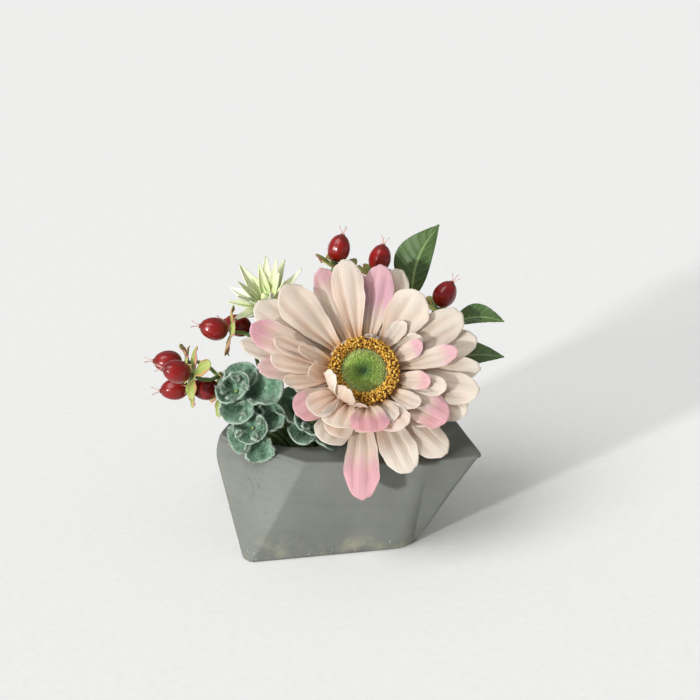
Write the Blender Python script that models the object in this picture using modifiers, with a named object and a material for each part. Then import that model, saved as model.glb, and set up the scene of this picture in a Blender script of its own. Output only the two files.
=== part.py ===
"""A faceted cement pot with a silk flower arrangement that lifts out of it.

The frame has +Z up, with the origin on the pot's flat base. The front faces -Y.
Sizes below are in millimetres, and MM turns them into metres.
"""
import math

import bmesh
import bpy
from mathutils import Matrix, Vector

MM = 0.001
GAP = 0.35

# Pot: the outline's six corners at three heights, each as (x, y, softness). The first two
# corners lie close together at the base, and so do the next two, which makes the side
# facets triangles that stand on their points.
POT_HEIGHT = 50.0
SHOULDER_HEIGHT = 42.0
BASE_OUTLINE = ((-49, -38.5, 3), (-45, -43, 2.2), (25, -29.5, 6), (31.5, -21, 3), (24, 26, 6),
                (-42, 28, 6))
SHOULDER_OUTLINE = ((-63.5, -19, 9), (-24, -42.9, 1.5), (32, -40, 2), (54.3, -33, 4),
                    (38.3, 33.5, 6), (-46, 34.7, 7))
TOP_OUTLINE = ((-60.5, -14, 6), (-20, -43, 1.5), (33, -42.3, 2), (59.3, -35.5, 5),
               (41, 35, 6), (-45, 36, 7))
RIM_BEVEL = 1.2

# Cup in the pot's top, and the foam plug in it.
CUP_X = -22.0
CUP_Y = 0.0
CUP_FLOOR = 11.0
CUP_FLOOR_RADIUS = 18.0
CUP_MOUTH_RADIUS = 26.5
FOAM_TOP = 39.0
STEM_DEPTH = 14.0

# Gerbera: its centre lies on the petals' seat, and its axis leans up towards the front.
GERBERA_CENTRE = Vector((5.8, -24.0, 84.0))
GERBERA_AXIS = Vector((0.05, -0.74, 0.67)).normalized()
PETAL_THICKNESS = 0.7
PEG_RADIUS = 1.3

WIRE_RADIUS = 0.9
BERRY_RADIUS = 5.2
BERRY_LENGTH = 13.0
LEAF_THICKNESS = 0.8


def new_collection(name):
    collection = bpy.data.collections.new(name)
    bpy.context.scene.collection.children.link(collection)
    return collection


def make_material(name, colour, roughness):
    material = bpy.data.materials.new(name)
    material.use_nodes = True
    shader = material.node_tree.nodes["Principled BSDF"]
    shader.inputs["Base Color"].default_value = (*colour, 1.0)
    shader.inputs["Roughness"].default_value = roughness
    shader.inputs["Metallic"].default_value = 0.0
    return material


for old in list(bpy.data.objects):
    bpy.data.objects.remove(old, do_unlink=True)

parts = new_collection("faceted_pot_arrangement")
cutters = new_collection("cutters")

CEMENT = make_material("cement", (0.26, 0.265, 0.24), 0.9)
FOAM = make_material("flower_foam", (0.08, 0.13, 0.05), 0.95)
PETAL = make_material("silk_petal", (0.86, 0.66, 0.55), 0.8)
STAMEN = make_material("stamen_grain", (0.55, 0.29, 0.03), 0.85)
PLUSH = make_material("green_plush", (0.22, 0.36, 0.05), 0.95)
STEM = make_material("stem_plastic", (0.06, 0.14, 0.03), 0.55)
BERRY = make_material("berry_lacquer", (0.22, 0.01, 0.01), 0.2)
SEPAL = make_material("sepal_fabric", (0.32, 0.4, 0.1), 0.75)
FLOCK = make_material("flocked_leaf", (0.2, 0.34, 0.25), 0.95)
LEAF = make_material("green_leaf", (0.06, 0.15, 0.03), 0.6)
CREAM = make_material("cream_petal", (0.75, 0.8, 0.55), 0.8)


def facing(centre, axis, spin=0.0):
    """The placement that puts local +Z along axis, turned by spin degrees about it."""
    turn = axis.normalized().to_track_quat("Z", "Y").to_matrix().to_4x4()
    return Matrix.Translation(centre * MM) @ turn @ Matrix.Rotation(math.radians(spin), 4, "Z")


def add_object(name, data, material, placement=None, collection=parts):
    obj = bpy.data.objects.new(name, data)
    data.materials.append(material)
    collection.objects.link(obj)
    if placement is not None:
        obj.matrix_world = placement
    return obj


def mesh_from(bm, name, smooth_angle=None):
    mesh = bpy.data.meshes.new(name)
    bm.to_mesh(mesh)
    bm.free()
    if smooth_angle is not None:
        mesh.shade_smooth()
        mesh.set_sharp_from_angle(angle=math.radians(smooth_angle))
    return mesh


def turned(name, profile, material, placement=None, steps=14, collection=parts):
    """Turn a profile of (radius, height), given from the top down the outer side."""
    bm = bmesh.new()
    points = [bm.verts.new((radius * MM, 0, height * MM)) for radius, height in profile]
    for first, second in zip(points, points[1:]):
        bm.edges.new((first, second))
    if profile[0][0] > 0:
        bm.edges.new((points[-1], points[0]))
    obj = add_object(name, mesh_from(bm, name), material, placement, collection)
    screw = obj.modifiers.new("turn", "SCREW")
    screw.steps = steps
    screw.render_steps = steps
    screw.use_merge_vertices = True
    screw.merge_threshold = 0.00001
    screw.use_smooth_shade = True
    return obj


def smooth_route(points, per_span=3):
    """A Catmull-Rom curve through the points."""
    ends = [points[0] * 2 - points[1], *points, points[-1] * 2 - points[-2]]
    route = []
    for index in range(1, len(ends) - 2):
        before, start, end, after = ends[index - 1:index + 3]
        for step in range(per_span):
            t = step / per_span
            route.append(0.5 * (2 * start + (end - before) * t
                                + (2 * before - 5 * start + 4 * end - after) * t ** 2
                                + (3 * start - before - 3 * end + after) * t ** 3))
    return route + [points[-1]]


def wire(name, points, radius=WIRE_RADIUS, material=STEM, per_span=3):
    curve = bpy.data.curves.new(name, "CURVE")
    curve.dimensions = "3D"
    curve.bevel_depth = radius * MM
    curve.bevel_resolution = 2
    curve.use_fill_caps = True
    route = smooth_route([Vector(point) for point in points], per_span)
    spline = curve.splines.new("POLY")
    spline.points.add(len(route) - 1)
    for place, point in zip(spline.points, route):
        place.co = (*(point * MM), 1.0)
    return add_object(name, curve, material)


def subtract(obj, cutter):
    cutter.hide_render = True
    cutter.display_type = "WIRE"
    cut = obj.modifiers.new("cut_" + cutter.name, "BOOLEAN")
    cut.operation = "DIFFERENCE"
    cut.solver = "EXACT"
    cut.object = cutter


# ---- pot ----

def outline(corners, height, corner_steps=3, edge_steps=3):
    """A loop of points around a polygon whose corners are softened by quadratic curves."""
    loop = []
    count = len(corners)
    for index, (x, y, softness) in enumerate(corners):
        here = Vector((x, y, height))
        last = Vector((*corners[index - 1][:2], height))
        following = corners[(index + 1) % count]
        ahead = Vector((*following[:2], height))
        start = here + (last - here).normalized() * softness
        end = here + (ahead - here).normalized() * softness
        for step in range(corner_steps + 1):
            t = step / corner_steps
            loop.append(start * (1 - t) ** 2 + here * 2 * t * (1 - t) + end * t ** 2)
        next_start = ahead + (here - ahead).normalized() * following[2]
        for step in range(1, edge_steps):
            loop.append(end.lerp(next_start, step / edge_steps))
    return loop


def make_pot():
    bm = bmesh.new()
    rings = []
    for corners, height in ((BASE_OUTLINE, 0.0), (SHOULDER_OUTLINE, SHOULDER_HEIGHT),
                            (TOP_OUTLINE, POT_HEIGHT)):
        rings.append([bm.verts.new(point * MM) for point in outline(corners, height)])
    for lower, upper in zip(rings, rings[1:]):
        for index in range(len(lower)):
            after = (index + 1) % len(lower)
            bm.faces.new((lower[index], lower[after], upper[after], upper[index]))
    bm.faces.new(rings[-1])
    bm.faces.new(list(reversed(rings[0])))
    pot = add_object("pot", mesh_from(bm, "pot", 30), CEMENT)
    edges = pot.modifiers.new("rim", "BEVEL")
    edges.limit_method = "ANGLE"
    edges.angle_limit = math.radians(55)
    edges.width = RIM_BEVEL * MM
    edges.segments = 2
    above = POT_HEIGHT + 5
    cup = turned("cup_cutter", ((0, above), (CUP_MOUTH_RADIUS + 5, above),
                                (CUP_MOUTH_RADIUS + 1, POT_HEIGHT),
                                (CUP_MOUTH_RADIUS, POT_HEIGHT - 1.2),
                                (CUP_FLOOR_RADIUS, CUP_FLOOR), (0, CUP_FLOOR)),
                 CEMENT, Matrix.Translation(Vector((CUP_X, CUP_Y, 0)) * MM), 48, cutters)
    subtract(pot, cup)


make_pot()


# ---- foam plug, with a hole for each stem ----

def cup_radius(height):
    """The cup's radius at a height: it tapers evenly from its mouth to its floor."""
    share = (height - CUP_FLOOR) / (POT_HEIGHT - 1.2 - CUP_FLOOR)
    return CUP_FLOOR_RADIUS + (CUP_MOUTH_RADIUS - CUP_FLOOR_RADIUS) * share


foam = turned("foam_plug", ((0, FOAM_TOP), (cup_radius(FOAM_TOP) - GAP - 1, FOAM_TOP),
                            (cup_radius(FOAM_TOP - 1) - GAP, FOAM_TOP - 1),
                            (cup_radius(CUP_FLOOR + GAP) - GAP - 0.2, CUP_FLOOR + GAP),
                            (0, CUP_FLOOR + GAP)),
              FOAM, Matrix.Translation(Vector((CUP_X, CUP_Y, 0)) * MM), 32)


def foot_points(x, y):
    """A stem's straight foot: deep in the foam, and twice just above it."""
    return [(x, y, FOAM_TOP - STEM_DEPTH), (x, y, FOAM_TOP + 1), (x, y, FOAM_TOP + 4)]


def planted_wire(name, x, y, points, radius=WIRE_RADIUS):
    """A stem that stands in its own blind hole in the foam and then follows points."""
    hole = turned(name + "_hole", ((0, FOAM_TOP + 5), (radius + GAP, FOAM_TOP + 5),
                                   (radius + GAP, FOAM_TOP - STEM_DEPTH - GAP),
                                   (0, FOAM_TOP - STEM_DEPTH - GAP)),
                  FOAM, Matrix.Translation(Vector((x, y, 0)) * MM), 10, cutters)
    subtract(foam, hole)
    return wire(name, foot_points(x, y) + list(points), radius)


# ---- discs of petals, sepals or leaves around a stem ----

def lobe_rows(length, width, lift, droop, point, hub):
    """Rows of (distance, half width, height) from the hub to the tip of one lobe.

    It rises at the lift angle, and droop bends it back down with the square of distance.
    """
    rows = []
    for share in (0.0, 0.3, 0.62, 0.86, 1.0):
        reach = (length - hub) * share
        swell = math.sin(math.pi * (0.22 + 0.62 * share)) if share < 1 else 1 - point
        half = 0.5 * width * max(swell, 0.12)
        climb = reach * math.tan(math.radians(lift)) - droop * share ** 2
        rows.append((hub + reach, half, climb))
    return rows


def lobed_disc(name, centre, axis, lobes, material, bore, hub, spin=0.0, point=0.7,
               thickness=PETAL_THICKNESS):
    """One die-cut disc: a ring around the stem with lobes of (length, width, lift, droop)."""
    bm = bmesh.new()
    count = len(lobes)
    inner = []
    outer = []
    for index, (length, width, lift, droop) in enumerate(lobes):
        along = Vector((math.cos(math.tau * index / count), math.sin(math.tau * index / count), 0))
        across = Vector((-along.y, along.x, 0))
        root_half = 0.8 * hub * math.sin(math.pi / count)
        previous = None
        for distance, half, climb in lobe_rows(length, width, lift, droop, point, hub):
            spread = root_half if previous is None else half
            middle = along * distance + Vector((0, 0, climb))
            row = [bm.verts.new((middle + across * side * spread) * MM) for side in (-1, 1)]
            if previous is not None:
                bm.faces.new((previous[0], row[0], row[1], previous[1]))
            else:
                outer.extend(row)
            previous = row
        for side in (-1, 1):
            inner.append(bm.verts.new((along * bore + across * side * root_half * bore / hub) * MM))
    for index in range(2 * count):
        after = (index + 1) % (2 * count)
        bm.faces.new((inner[index], outer[index], outer[after], inner[after]))
    bmesh.ops.recalc_face_normals(bm, faces=bm.faces)
    if sum(face.normal.z for face in bm.faces) < 0:
        bmesh.ops.reverse_faces(bm, faces=bm.faces)
    obj = add_object(name, mesh_from(bm, name, 60), material, facing(centre, axis, spin))
    shell = obj.modifiers.new("thickness", "SOLIDIFY")
    shell.thickness = thickness * MM
    shell.offset = -1.0
    shell.use_even_offset = False
    return obj


# ---- gerbera ----

def gerbera_point(offset):
    return GERBERA_CENTRE + GERBERA_AXIS * offset


gerbera_stem_end = gerbera_point(2.6)
planted_wire("gerbera_stem", -16, -4, [(-13.5, -1, 52), (-6, 2.5, 61), (3.5, 0.5, 64.5),
                                       gerbera_point(-15), gerbera_point(-6), gerbera_stem_end],
             PEG_RADIUS)
turned("gerbera_calyx", ((8.5, -2.6), (9.5, -3.2), (8, -5.5), (4, -9), (PEG_RADIUS + GAP, -11),
                         (PEG_RADIUS + GAP, -4.5)),
       STEM, facing(GERBERA_CENTRE, GERBERA_AXIS), 16)

# Each ring of petals: name, seat height, petals as (length, width, lift, droop), spin.
def petal_set(lengths, width, lift, droop):
    return [(length, width, lift, droop) for length in lengths]


BACK_PETALS = petal_set((52, 52, 49, 52, 53, 58, 48, 34, 40, 58, 52, 53), 15, 2, 2)
BACK_PETALS[9] = (54, 16, 0, 9)
MIDDLE_PETALS = petal_set((53, 49, 51, 52, 50, 57, 38, 32, 38, 46, 51, 53), 14, 8, 1)
FRONT_PETALS = petal_set((45, 40, 42, 42, 44, 36, 31, 36, 40, 43), 13, 16, 1)
INNER_PETALS = petal_set((33, 30, 32, 33, 33, 29, 29, 29, 32), 10, 25, 2)
PETAL_RINGS = (
    ("gerbera_petals_back", -1.5, BACK_PETALS, -3),
    ("gerbera_petals_mid", -0.2, MIDDLE_PETALS, 15),
    ("gerbera_petals_front", 1.1, FRONT_PETALS, 8),
    ("gerbera_petals_inner", 2.4, INNER_PETALS, 25),
)
for ring_name, seat, petals, spin in PETAL_RINGS:
    lobed_disc(ring_name, gerbera_point(seat), GERBERA_AXIS, petals, PETAL,
               PEG_RADIUS + GAP, 14.0, spin, 0.55)

turned("gerbera_stamens", ((12.4, 8.4), (14.6, 7.4), (15.6, 5), (14.4, 3.4), (11.6, 2.8), (11.2, 6)),
       STAMEN, facing(GERBERA_CENTRE, GERBERA_AXIS), 22)
turned("gerbera_eye", ((0, 8.2), (6, 7.8), (9.6, 6.2), (10.8, 4.2), (10.2, 3.0), (0, 3.0)),
       PLUSH, facing(GERBERA_CENTRE, GERBERA_AXIS), 18)


# ---- hypericum ----

def berry(name, centre, axis):
    """An egg-shaped berry: its radius follows a half ellipse from tip to base."""
    profile = []
    for step in range(9):
        angle = math.pi * step / 8
        swell = 1 - 0.1 * math.cos(angle)
        profile.append((BERRY_RADIUS * math.sin(angle) * swell if 0 < step < 8 else 0,
                        BERRY_LENGTH / 2 * math.cos(angle)))
    turned(name, profile, BERRY, facing(centre, axis), 12)


# Each berry: where its middle is, which way its tip points, where its wire stands in
# the foam, and the points that the wire passes.
BERRIES = {
    "left_back": ((-83.5, 4, 78.6), (-0.95, -0.1, 0.1), (-35, -1), [(-42, 1, 52), (-57, 4, 67)]),
    "left_top": ((-77, -20, 83.8), (-0.85, -0.35, 0.4), (-32, -6), [(-39, -2, 57), (-52, -2, 76)]),
    "left_low": ((-80.8, 2, 65.8), (-0.93, -0.2, -0.05), (-36, 5), [(-45, 6, 52), (-60, 6, 60)]),
    "left_front": ((-65.5, -11, 71.6), (-0.85, -0.45, 0.25), (-28, -9), [(-36, -9, 52), (-45, -7, 59)]),
    "upper_front": ((-61.5, 0, 96.4), (-0.95, -0.1, 0.25), (-30, 3), [(-34, 3, 54), (-42, 2, 78)]),
    "upper_back": ((-52, 17, 91.5), (-0.9, 0.1, 0.3), (-28, 9), [(-31, 13, 54), (-37, 17, 74)]),
    "top_left": ((-5, 22, 127.4), (0.25, 0, 0.97), (-17, 8), [(-15, 14, 56), (-9, 21, 92)]),
    "top_right": ((13.8, 24, 121.9), (0.2, 0, 0.97), (-12, 6), [(-8, 14, 56), (7, 22, 90)]),
    "right": ((43.3, 12, 108.7), (0.5, 0, 0.87), (-10, 1), [(-2, 6, 56), (21, 11, 78)]),
}
SEPAL_SEAT = 1.2
SEPAL_LOBES = [(12, 6.5, 14, 4), (10, 6, 0, 3), (12, 6.5, 10, 5), (10, 6, 4, 2), (11, 6.5, 12, 5)]
SEPAL_SHRINK = {"left_front": 0.7, "upper_front": 0.78, "upper_back": 0.7, "top_left": 0.9,
                "top_right": 0.9, "left_back": 0.9, "left_low": 0.9}
SEPAL_SPIN = {"left_back": 20, "left_top": 60, "left_low": 0, "left_front": 4, "upper_front": 30,
              "upper_back": 70, "top_left": 150, "top_right": 170, "right": 160}
for label, (middle, tip, foot, points) in BERRIES.items():
    middle = Vector(middle)
    tip = Vector(tip).normalized()
    berry("berry_" + label, middle, tip)
    under = middle - tip * (BERRY_LENGTH / 2 + SEPAL_SEAT)
    shrink = SEPAL_SHRINK.get(label, 1.0)
    lobes = [(length * shrink, width, lift, droop) for length, width, lift, droop in SEPAL_LOBES]
    lobed_disc("sepals_" + label, under, tip, lobes, SEPAL, WIRE_RADIUS + GAP, 2.8,
               SEPAL_SPIN[label], 0.75, 0.6)
    planted_wire("stem_" + label, *foot, points + [under - tip * 9, under + tip * 0.55], WIRE_RADIUS)


# ---- lamb's ear ----

def whorl(name, centre, axis, length, width, lift, spin, count=4):
    leaves = [(length, width, lift, 0.0), (length * 0.85, width * 0.92, lift + 8, 0.0)] * (count // 2)
    lobed_disc(name, Vector(centre), Vector(axis), leaves, FLOCK, WIRE_RADIUS + GAP, 3.2, spin,
               0.55, LEAF_THICKNESS)


# Each sprig: foot in the foam, stem points, and whorls as (centre, axis, length, width, lift, spin).
SPRIGS = {
    "upper": ((-34, -11), [(-40, -16, 54), (-46, -17, 66)],
              [((-48, -18, 71.5), (-0.25, -0.6, 0.75), 14, 13, 24, 16),
               ((-50.5, -22, 75), (-0.25, -0.65, 0.7), 10.5, 10, 34, 55)]),
    "low_left": ((-29, -15), [(-33, -19, 51), (-38, -22, 54)],
                 [((-41, -25, 57), (-0.35, -0.75, 0.55), 15, 12, 10, 45),
                  ((-43, -29.5, 60.5), (-0.35, -0.75, 0.55), 9, 9.5, 24, 0)]),
    "low_middle": ((-20, -14), [(-18, -16, 51), (-17, -18.5, 54)],
                   [((-17, -21, 57), (0.1, -0.55, 0.83), 14, 13, 12, 45),
                    ((-17, -24, 60.5), (0.1, -0.6, 0.8), 10, 10, 34, 0)]),
}
for label, (foot, points, whorls) in SPRIGS.items():
    for number, (centre, axis, *shape) in enumerate(whorls, 1):
        whorl(f"lambs_ear_{label}_{number}", centre, axis, *shape)
    last_centre = Vector(whorls[-1][0])
    last_axis = Vector(whorls[-1][1]).normalized()
    first_centre = Vector(whorls[0][0])
    first_axis = Vector(whorls[0][1]).normalized()
    planted_wire("lambs_ear_stem_" + label, *foot,
                 points + [first_centre - first_axis * 3, first_centre + first_axis,
                           last_centre - last_axis * 2, last_centre + last_axis * 0.8], WIRE_RADIUS)


# ---- green leaves ----

def leaf_blade(name, base, tip, width, side, sag):
    """A pointed blade from base to tip: its half width swells and fades as a sine."""
    base = Vector(base)
    tip = Vector(tip)
    side = Vector(side).normalized()
    lift = (tip - base).cross(side).normalized()
    bm = bmesh.new()
    previous = None
    steps = 7
    for step in range(steps + 1):
        share = step / steps
        half = 0.5 * width * max(math.sin(math.pi * share ** 0.8), 0.06)
        middle = base.lerp(tip, share) + lift * sag * math.sin(math.pi * share)
        row = [bm.verts.new((middle + side * half * place + lift * fold) * MM)
               for place, fold in ((-1, 0.18 * half), (0, 0), (1, 0.18 * half))]
        if previous is not None:
            for place in (0, 1):
                bm.faces.new((previous[place], row[place], row[place + 1], previous[place + 1]))
        previous = row
    bmesh.ops.recalc_face_normals(bm, faces=bm.faces)
    obj = add_object(name, mesh_from(bm, name, 60), LEAF)
    shell = obj.modifiers.new("thickness", "SOLIDIFY")
    shell.thickness = LEAF_THICKNESS * MM
    shell.offset = 0.0


# Each leaf: base, tip, width, the way across it, sag, foot in the foam, stem points.
LEAVES = {
    "tall": ((28.5, 20, 104), (41, 30, 136), 20, (0.92, -0.1, -0.37), -2, (-14, 10), [(-8, 17, 56), (14, 22, 84)]),
    "right": ((46, 2, 98), (69.8, 2, 99), 12, (0, 0.4, 0.92), 3, (-8, 4), [(2, 6, 56), (26, 7, 82)]),
    "low_right": ((40, 0, 78), (70, -2, 83.4), 15, (-0.2, 0.35, 0.93), 2, (-8, -3), [(0, -1, 53), (20, 1, 66)]),
}
for label, (base, tip, width, side, sag, foot, points) in LEAVES.items():
    leaf_blade("leaf_" + label, base, tip, width, side, sag)
    base = Vector(base)
    heading = (Vector(tip) - base).normalized()
    planted_wire("leaf_stem_" + label, *foot, points + [base - heading * 8, base - heading * 1.2])


# ---- spiky cream flower ----

SPIKY_CENTRE = Vector((-37.5, 18, 100))
SPIKY_AXIS = Vector((-0.25, -0.35, 0.9)).normalized()
lobed_disc("spiky_petals_outer", SPIKY_CENTRE, SPIKY_AXIS, [(19, 5, 18, 2), (17, 5, 30, 0)] * 6,
           CREAM, WIRE_RADIUS + GAP, 4.0, 0, 0.85)
lobed_disc("spiky_petals_inner", SPIKY_CENTRE + SPIKY_AXIS * 1.6, SPIKY_AXIS,
           [(14, 4.5, 50, 0), (12, 4.5, 62, 0)] * 5, CREAM, WIRE_RADIUS + GAP, 4.0, 15, 0.85)
turned("spiky_core", ((0, 9), (1.6, 8), (2.0, 5), (1.6, 3.2), (0, 3.2)), CREAM,
       facing(SPIKY_CENTRE, SPIKY_AXIS), 10)
planted_wire("spiky_stem", -23, 12, [(-25, 15, 56), (-34, 18, 80), SPIKY_CENTRE - SPIKY_AXIS * 10,
                                     SPIKY_CENTRE + SPIKY_AXIS * 2.8])
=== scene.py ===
import math

import bpy
import numpy as np
from mathutils import Matrix


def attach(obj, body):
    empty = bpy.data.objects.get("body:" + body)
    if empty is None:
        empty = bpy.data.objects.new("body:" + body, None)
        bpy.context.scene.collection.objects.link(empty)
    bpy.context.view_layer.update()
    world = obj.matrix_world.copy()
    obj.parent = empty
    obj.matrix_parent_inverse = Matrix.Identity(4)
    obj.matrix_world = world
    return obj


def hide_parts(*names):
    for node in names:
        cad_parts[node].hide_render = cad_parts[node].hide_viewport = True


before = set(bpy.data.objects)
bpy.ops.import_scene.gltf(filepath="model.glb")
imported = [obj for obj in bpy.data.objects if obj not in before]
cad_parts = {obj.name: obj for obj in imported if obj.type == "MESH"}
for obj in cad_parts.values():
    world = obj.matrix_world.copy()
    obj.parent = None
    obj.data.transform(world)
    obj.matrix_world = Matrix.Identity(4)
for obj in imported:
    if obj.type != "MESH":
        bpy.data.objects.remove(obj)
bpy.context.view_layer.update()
mm = 0.001
print("frame:", len(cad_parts), "nodes")


# Small tools

def linear(colour):
    # an sRGB hex value as linear light, with full alpha
    channels = [int(colour[at:at + 2], 16) / 255 for at in (1, 3, 5)]
    return [c / 12.92 if c <= 0.04045 else ((c + 0.055) / 1.055) ** 2.4 for c in channels] + [1.0]


def addNode(tree, kind, values=None, links=None, stops=None, gives=0, **options):
    # One node, and the output it gives: options are its own settings, values its plain inputs and
    # links its linked ones. Stops are places on a ramp, with hex colours or levels of grey.
    node = tree.nodes.new("ShaderNode" + kind)
    for option, value in options.items():
        setattr(node, option, value)
    for place, value in (values or {}).items():
        node.inputs[place].default_value = value
    for place, socket in (links or {}).items():
        tree.links.new(socket, node.inputs[place])
    if stops:
        ramp = node.color_ramp.elements
        ramp[0].position, ramp[1].position = stops[0][0], stops[-1][0]
        for place, colour in stops[1:-1]:
            ramp.new(place)
        for element, (place, colour) in zip(ramp, stops):
            element.color = linear(colour) if isinstance(colour, str) else (colour, colour, colour, 1.0)
    return node.outputs[gives]


# settings of a node that mixes two colours, its inputs 6 and 7, by input 0
blend = {"gives": 2, "data_type": "RGBA"}
multiply = {**blend, "blend_type": "MULTIPLY"}


def newMaterial(name):
    # the material, its tree and shader, and the place on the object in metres
    material = bpy.data.materials.new(name)
    material.use_nodes = True
    tree = material.node_tree
    return material, tree, tree.nodes["Principled BSDF"], addNode(tree, "TexCoord", gives="Object")


def dressSurface(tree, shader, colour, height=None, strength=0.3, depth=0.0003, **values):
    # the shader's colour, its bump from a height, and its plain values
    tree.links.new(colour, shader.inputs["Base Color"])
    if height:
        bump = addNode(tree, "Bump", {"Strength": strength, "Distance": depth}, {"Height": height})
        tree.links.new(bump, shader.inputs["Normal"])
    for name, value in values.items():
        shader.inputs[name.replace("_", " ")].default_value = value


def unit(vectors):
    return vectors / np.maximum(np.linalg.norm(vectors, axis=-1, keepdims=True), 1e-12)


def framesAlong(directions, spins=0.0):
    # rows of each frame: across, up and along, with along on the direction and up as high as it can be
    along = unit(np.asarray(directions, float))
    up = np.where(np.abs(along[..., 2:]) > 0.999, [0.0, 1.0, 0.0], [0.0, 0.0, 1.0])
    across = unit(np.cross(up, along))
    above = np.cross(along, across)
    c, s = np.cos(np.radians(spins))[..., None], np.sin(np.radians(spins))[..., None]
    return np.stack([across * c + above * s, above * c - across * s, along], axis=-2)


def wander(points, size, seed):
    # a smooth random height from -1 to 1: the mean of seven sine waves with wavelengths near size
    rng = np.random.default_rng(seed)
    waves = unit(rng.normal(size=(7, 3))) * rng.uniform(0.7, 1.4, (7, 1)) * math.tau / size
    phases = rng.uniform(0, math.tau, 7)
    return np.sin(points @ waves.T + phases).mean(axis=-1)


def aboutAxis(radius, turn, height):
    # points at a distance from an upright axis, at a turn about it and a height along it
    return np.stack(np.broadcast_arrays(radius * np.cos(turn), radius * np.sin(turn), height), axis=-1)


def smoothStep(low, high, x):
    t = np.clip((x - low) / (high - low), 0, 1)
    return t * t * (3 - 2 * t)


def gridQuads(rows, cols, closed=False):
    # quads of a grid whose rows run outwards and whose columns run across, to the left of them
    r = np.arange(rows - 1)[:, None] * cols
    c = np.arange(cols if closed else cols - 1)[None, :]
    after = (c + 1) % cols
    return np.stack([r + c, r + cols + c, r + cols + after, r + after], axis=-1).reshape(-1, 4)


def closedGrid(grid, low, high, layers):
    # a grid that closes round, with a pole point below its first row and above its last
    rows, cols = grid.shape[:2]
    count = rows * cols
    points = np.concatenate([grid.reshape(-1, 3), [low, high]])
    at = np.arange(cols)
    after = (at + 1) % cols
    last = (rows - 1) * cols
    tris = np.concatenate([np.stack([after, at, np.full(cols, count)], axis=1),
                           np.stack([last + at, last + after, np.full(cols, count + 1)], axis=1)])
    marks = {}
    for name, values in layers.items():
        spread = np.broadcast_to(values, (rows, cols))
        marks[name] = np.concatenate([spread.ravel(), [spread[0].mean(), spread[-1].mean()]])
    return points, gridQuads(rows, cols, True)[:, ::-1], tris, marks


def joined(parts):
    # several (points, quads, triangles, layers) as one, with the faces counted on
    points, quads, tris, layers = [], [], [], {}
    count = 0
    for some, four, three, marks in parts:
        some = np.asarray(some, float).reshape(-1, 3)
        points.append(some)
        quads.append(np.asarray(four, int).reshape(-1, 4) + count)
        tris.append(np.asarray(three, int).reshape(-1, 3) + count)
        for name, values in marks.items():
            flat = np.asarray(values, float).reshape(-1)
            layers.setdefault(name, []).append(np.broadcast_to(flat, len(some)))
        count += len(some)
    return (np.concatenate(points), np.concatenate(quads), np.concatenate(tris),
            {name: np.concatenate(values) for name, values in layers.items()})


def addPiece(name, parts, material, nodes=(), body="arrangement", thickness=None, offset=-1.0):
    # one mesh from parts in millimetres; layers become vertex attributes
    points, quads, tris, layers = joined(parts)
    mesh = bpy.data.meshes.new(name)
    mesh.vertices.add(len(points))
    mesh.vertices.foreach_set("co", (points * mm).astype(np.float32).ravel())
    corners = np.concatenate([quads.ravel(), tris.ravel()])
    starts = np.concatenate([np.arange(len(quads)) * 4, len(quads) * 4 + np.arange(len(tris)) * 3])
    mesh.loops.add(len(corners))
    mesh.loops.foreach_set("vertex_index", corners.astype(np.int32))
    mesh.polygons.add(len(starts))
    mesh.polygons.foreach_set("loop_start", starts.astype(np.int32))
    mesh.update(calc_edges=True)
    for layer, values in layers.items():
        mark = mesh.attributes.new(layer, "FLOAT", "POINT")
        mark.data.foreach_set("value", values.astype(np.float32))
    mesh.shade_smooth()
    mesh.materials.append(material)
    piece = bpy.data.objects.new(name, mesh)
    bpy.context.scene.collection.objects.link(piece)
    if thickness is not None:
        shell = piece.modifiers.new("thickness", "SOLIDIFY")
        shell.thickness = thickness * mm
        shell.offset = offset
        shell.use_even_offset = False
    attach(piece, body)
    if nodes:
        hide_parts(*nodes)
    return piece


# Camera, floor and light

cameraView = {"lens": 85.0, "elevation": 22.0, "distance": 0.7513, "aim": 0.086}

def makeCamera():
    lens = bpy.data.cameras.new("camera")
    lens.lens = cameraView["lens"]
    lens.sensor_width = 36.0
    lens.clip_start = 0.01
    camera = bpy.data.objects.new("camera", lens)
    rise = math.radians(cameraView["elevation"])
    away = cameraView["distance"]
    camera.location = (0, -away * math.cos(rise), cameraView["aim"] + away * math.sin(rise))
    camera.rotation_euler = (math.pi / 2 - rise, 0, 0)
    bpy.context.scene.collection.objects.link(camera)
    bpy.context.scene.camera = camera


# Each light: compass turn from the front towards the left, height above the horizon, and the
# width of its source, all in degrees, and its strength.
stageLight = {
    "world": 0.4,
    "top": {"turn": 50.0, "height": 52.0, "width": 36.0, "strength": 1.45},
    "key": {"turn": 42.0, "height": 9.0, "width": 4.0, "strength": 3.0},
}

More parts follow.
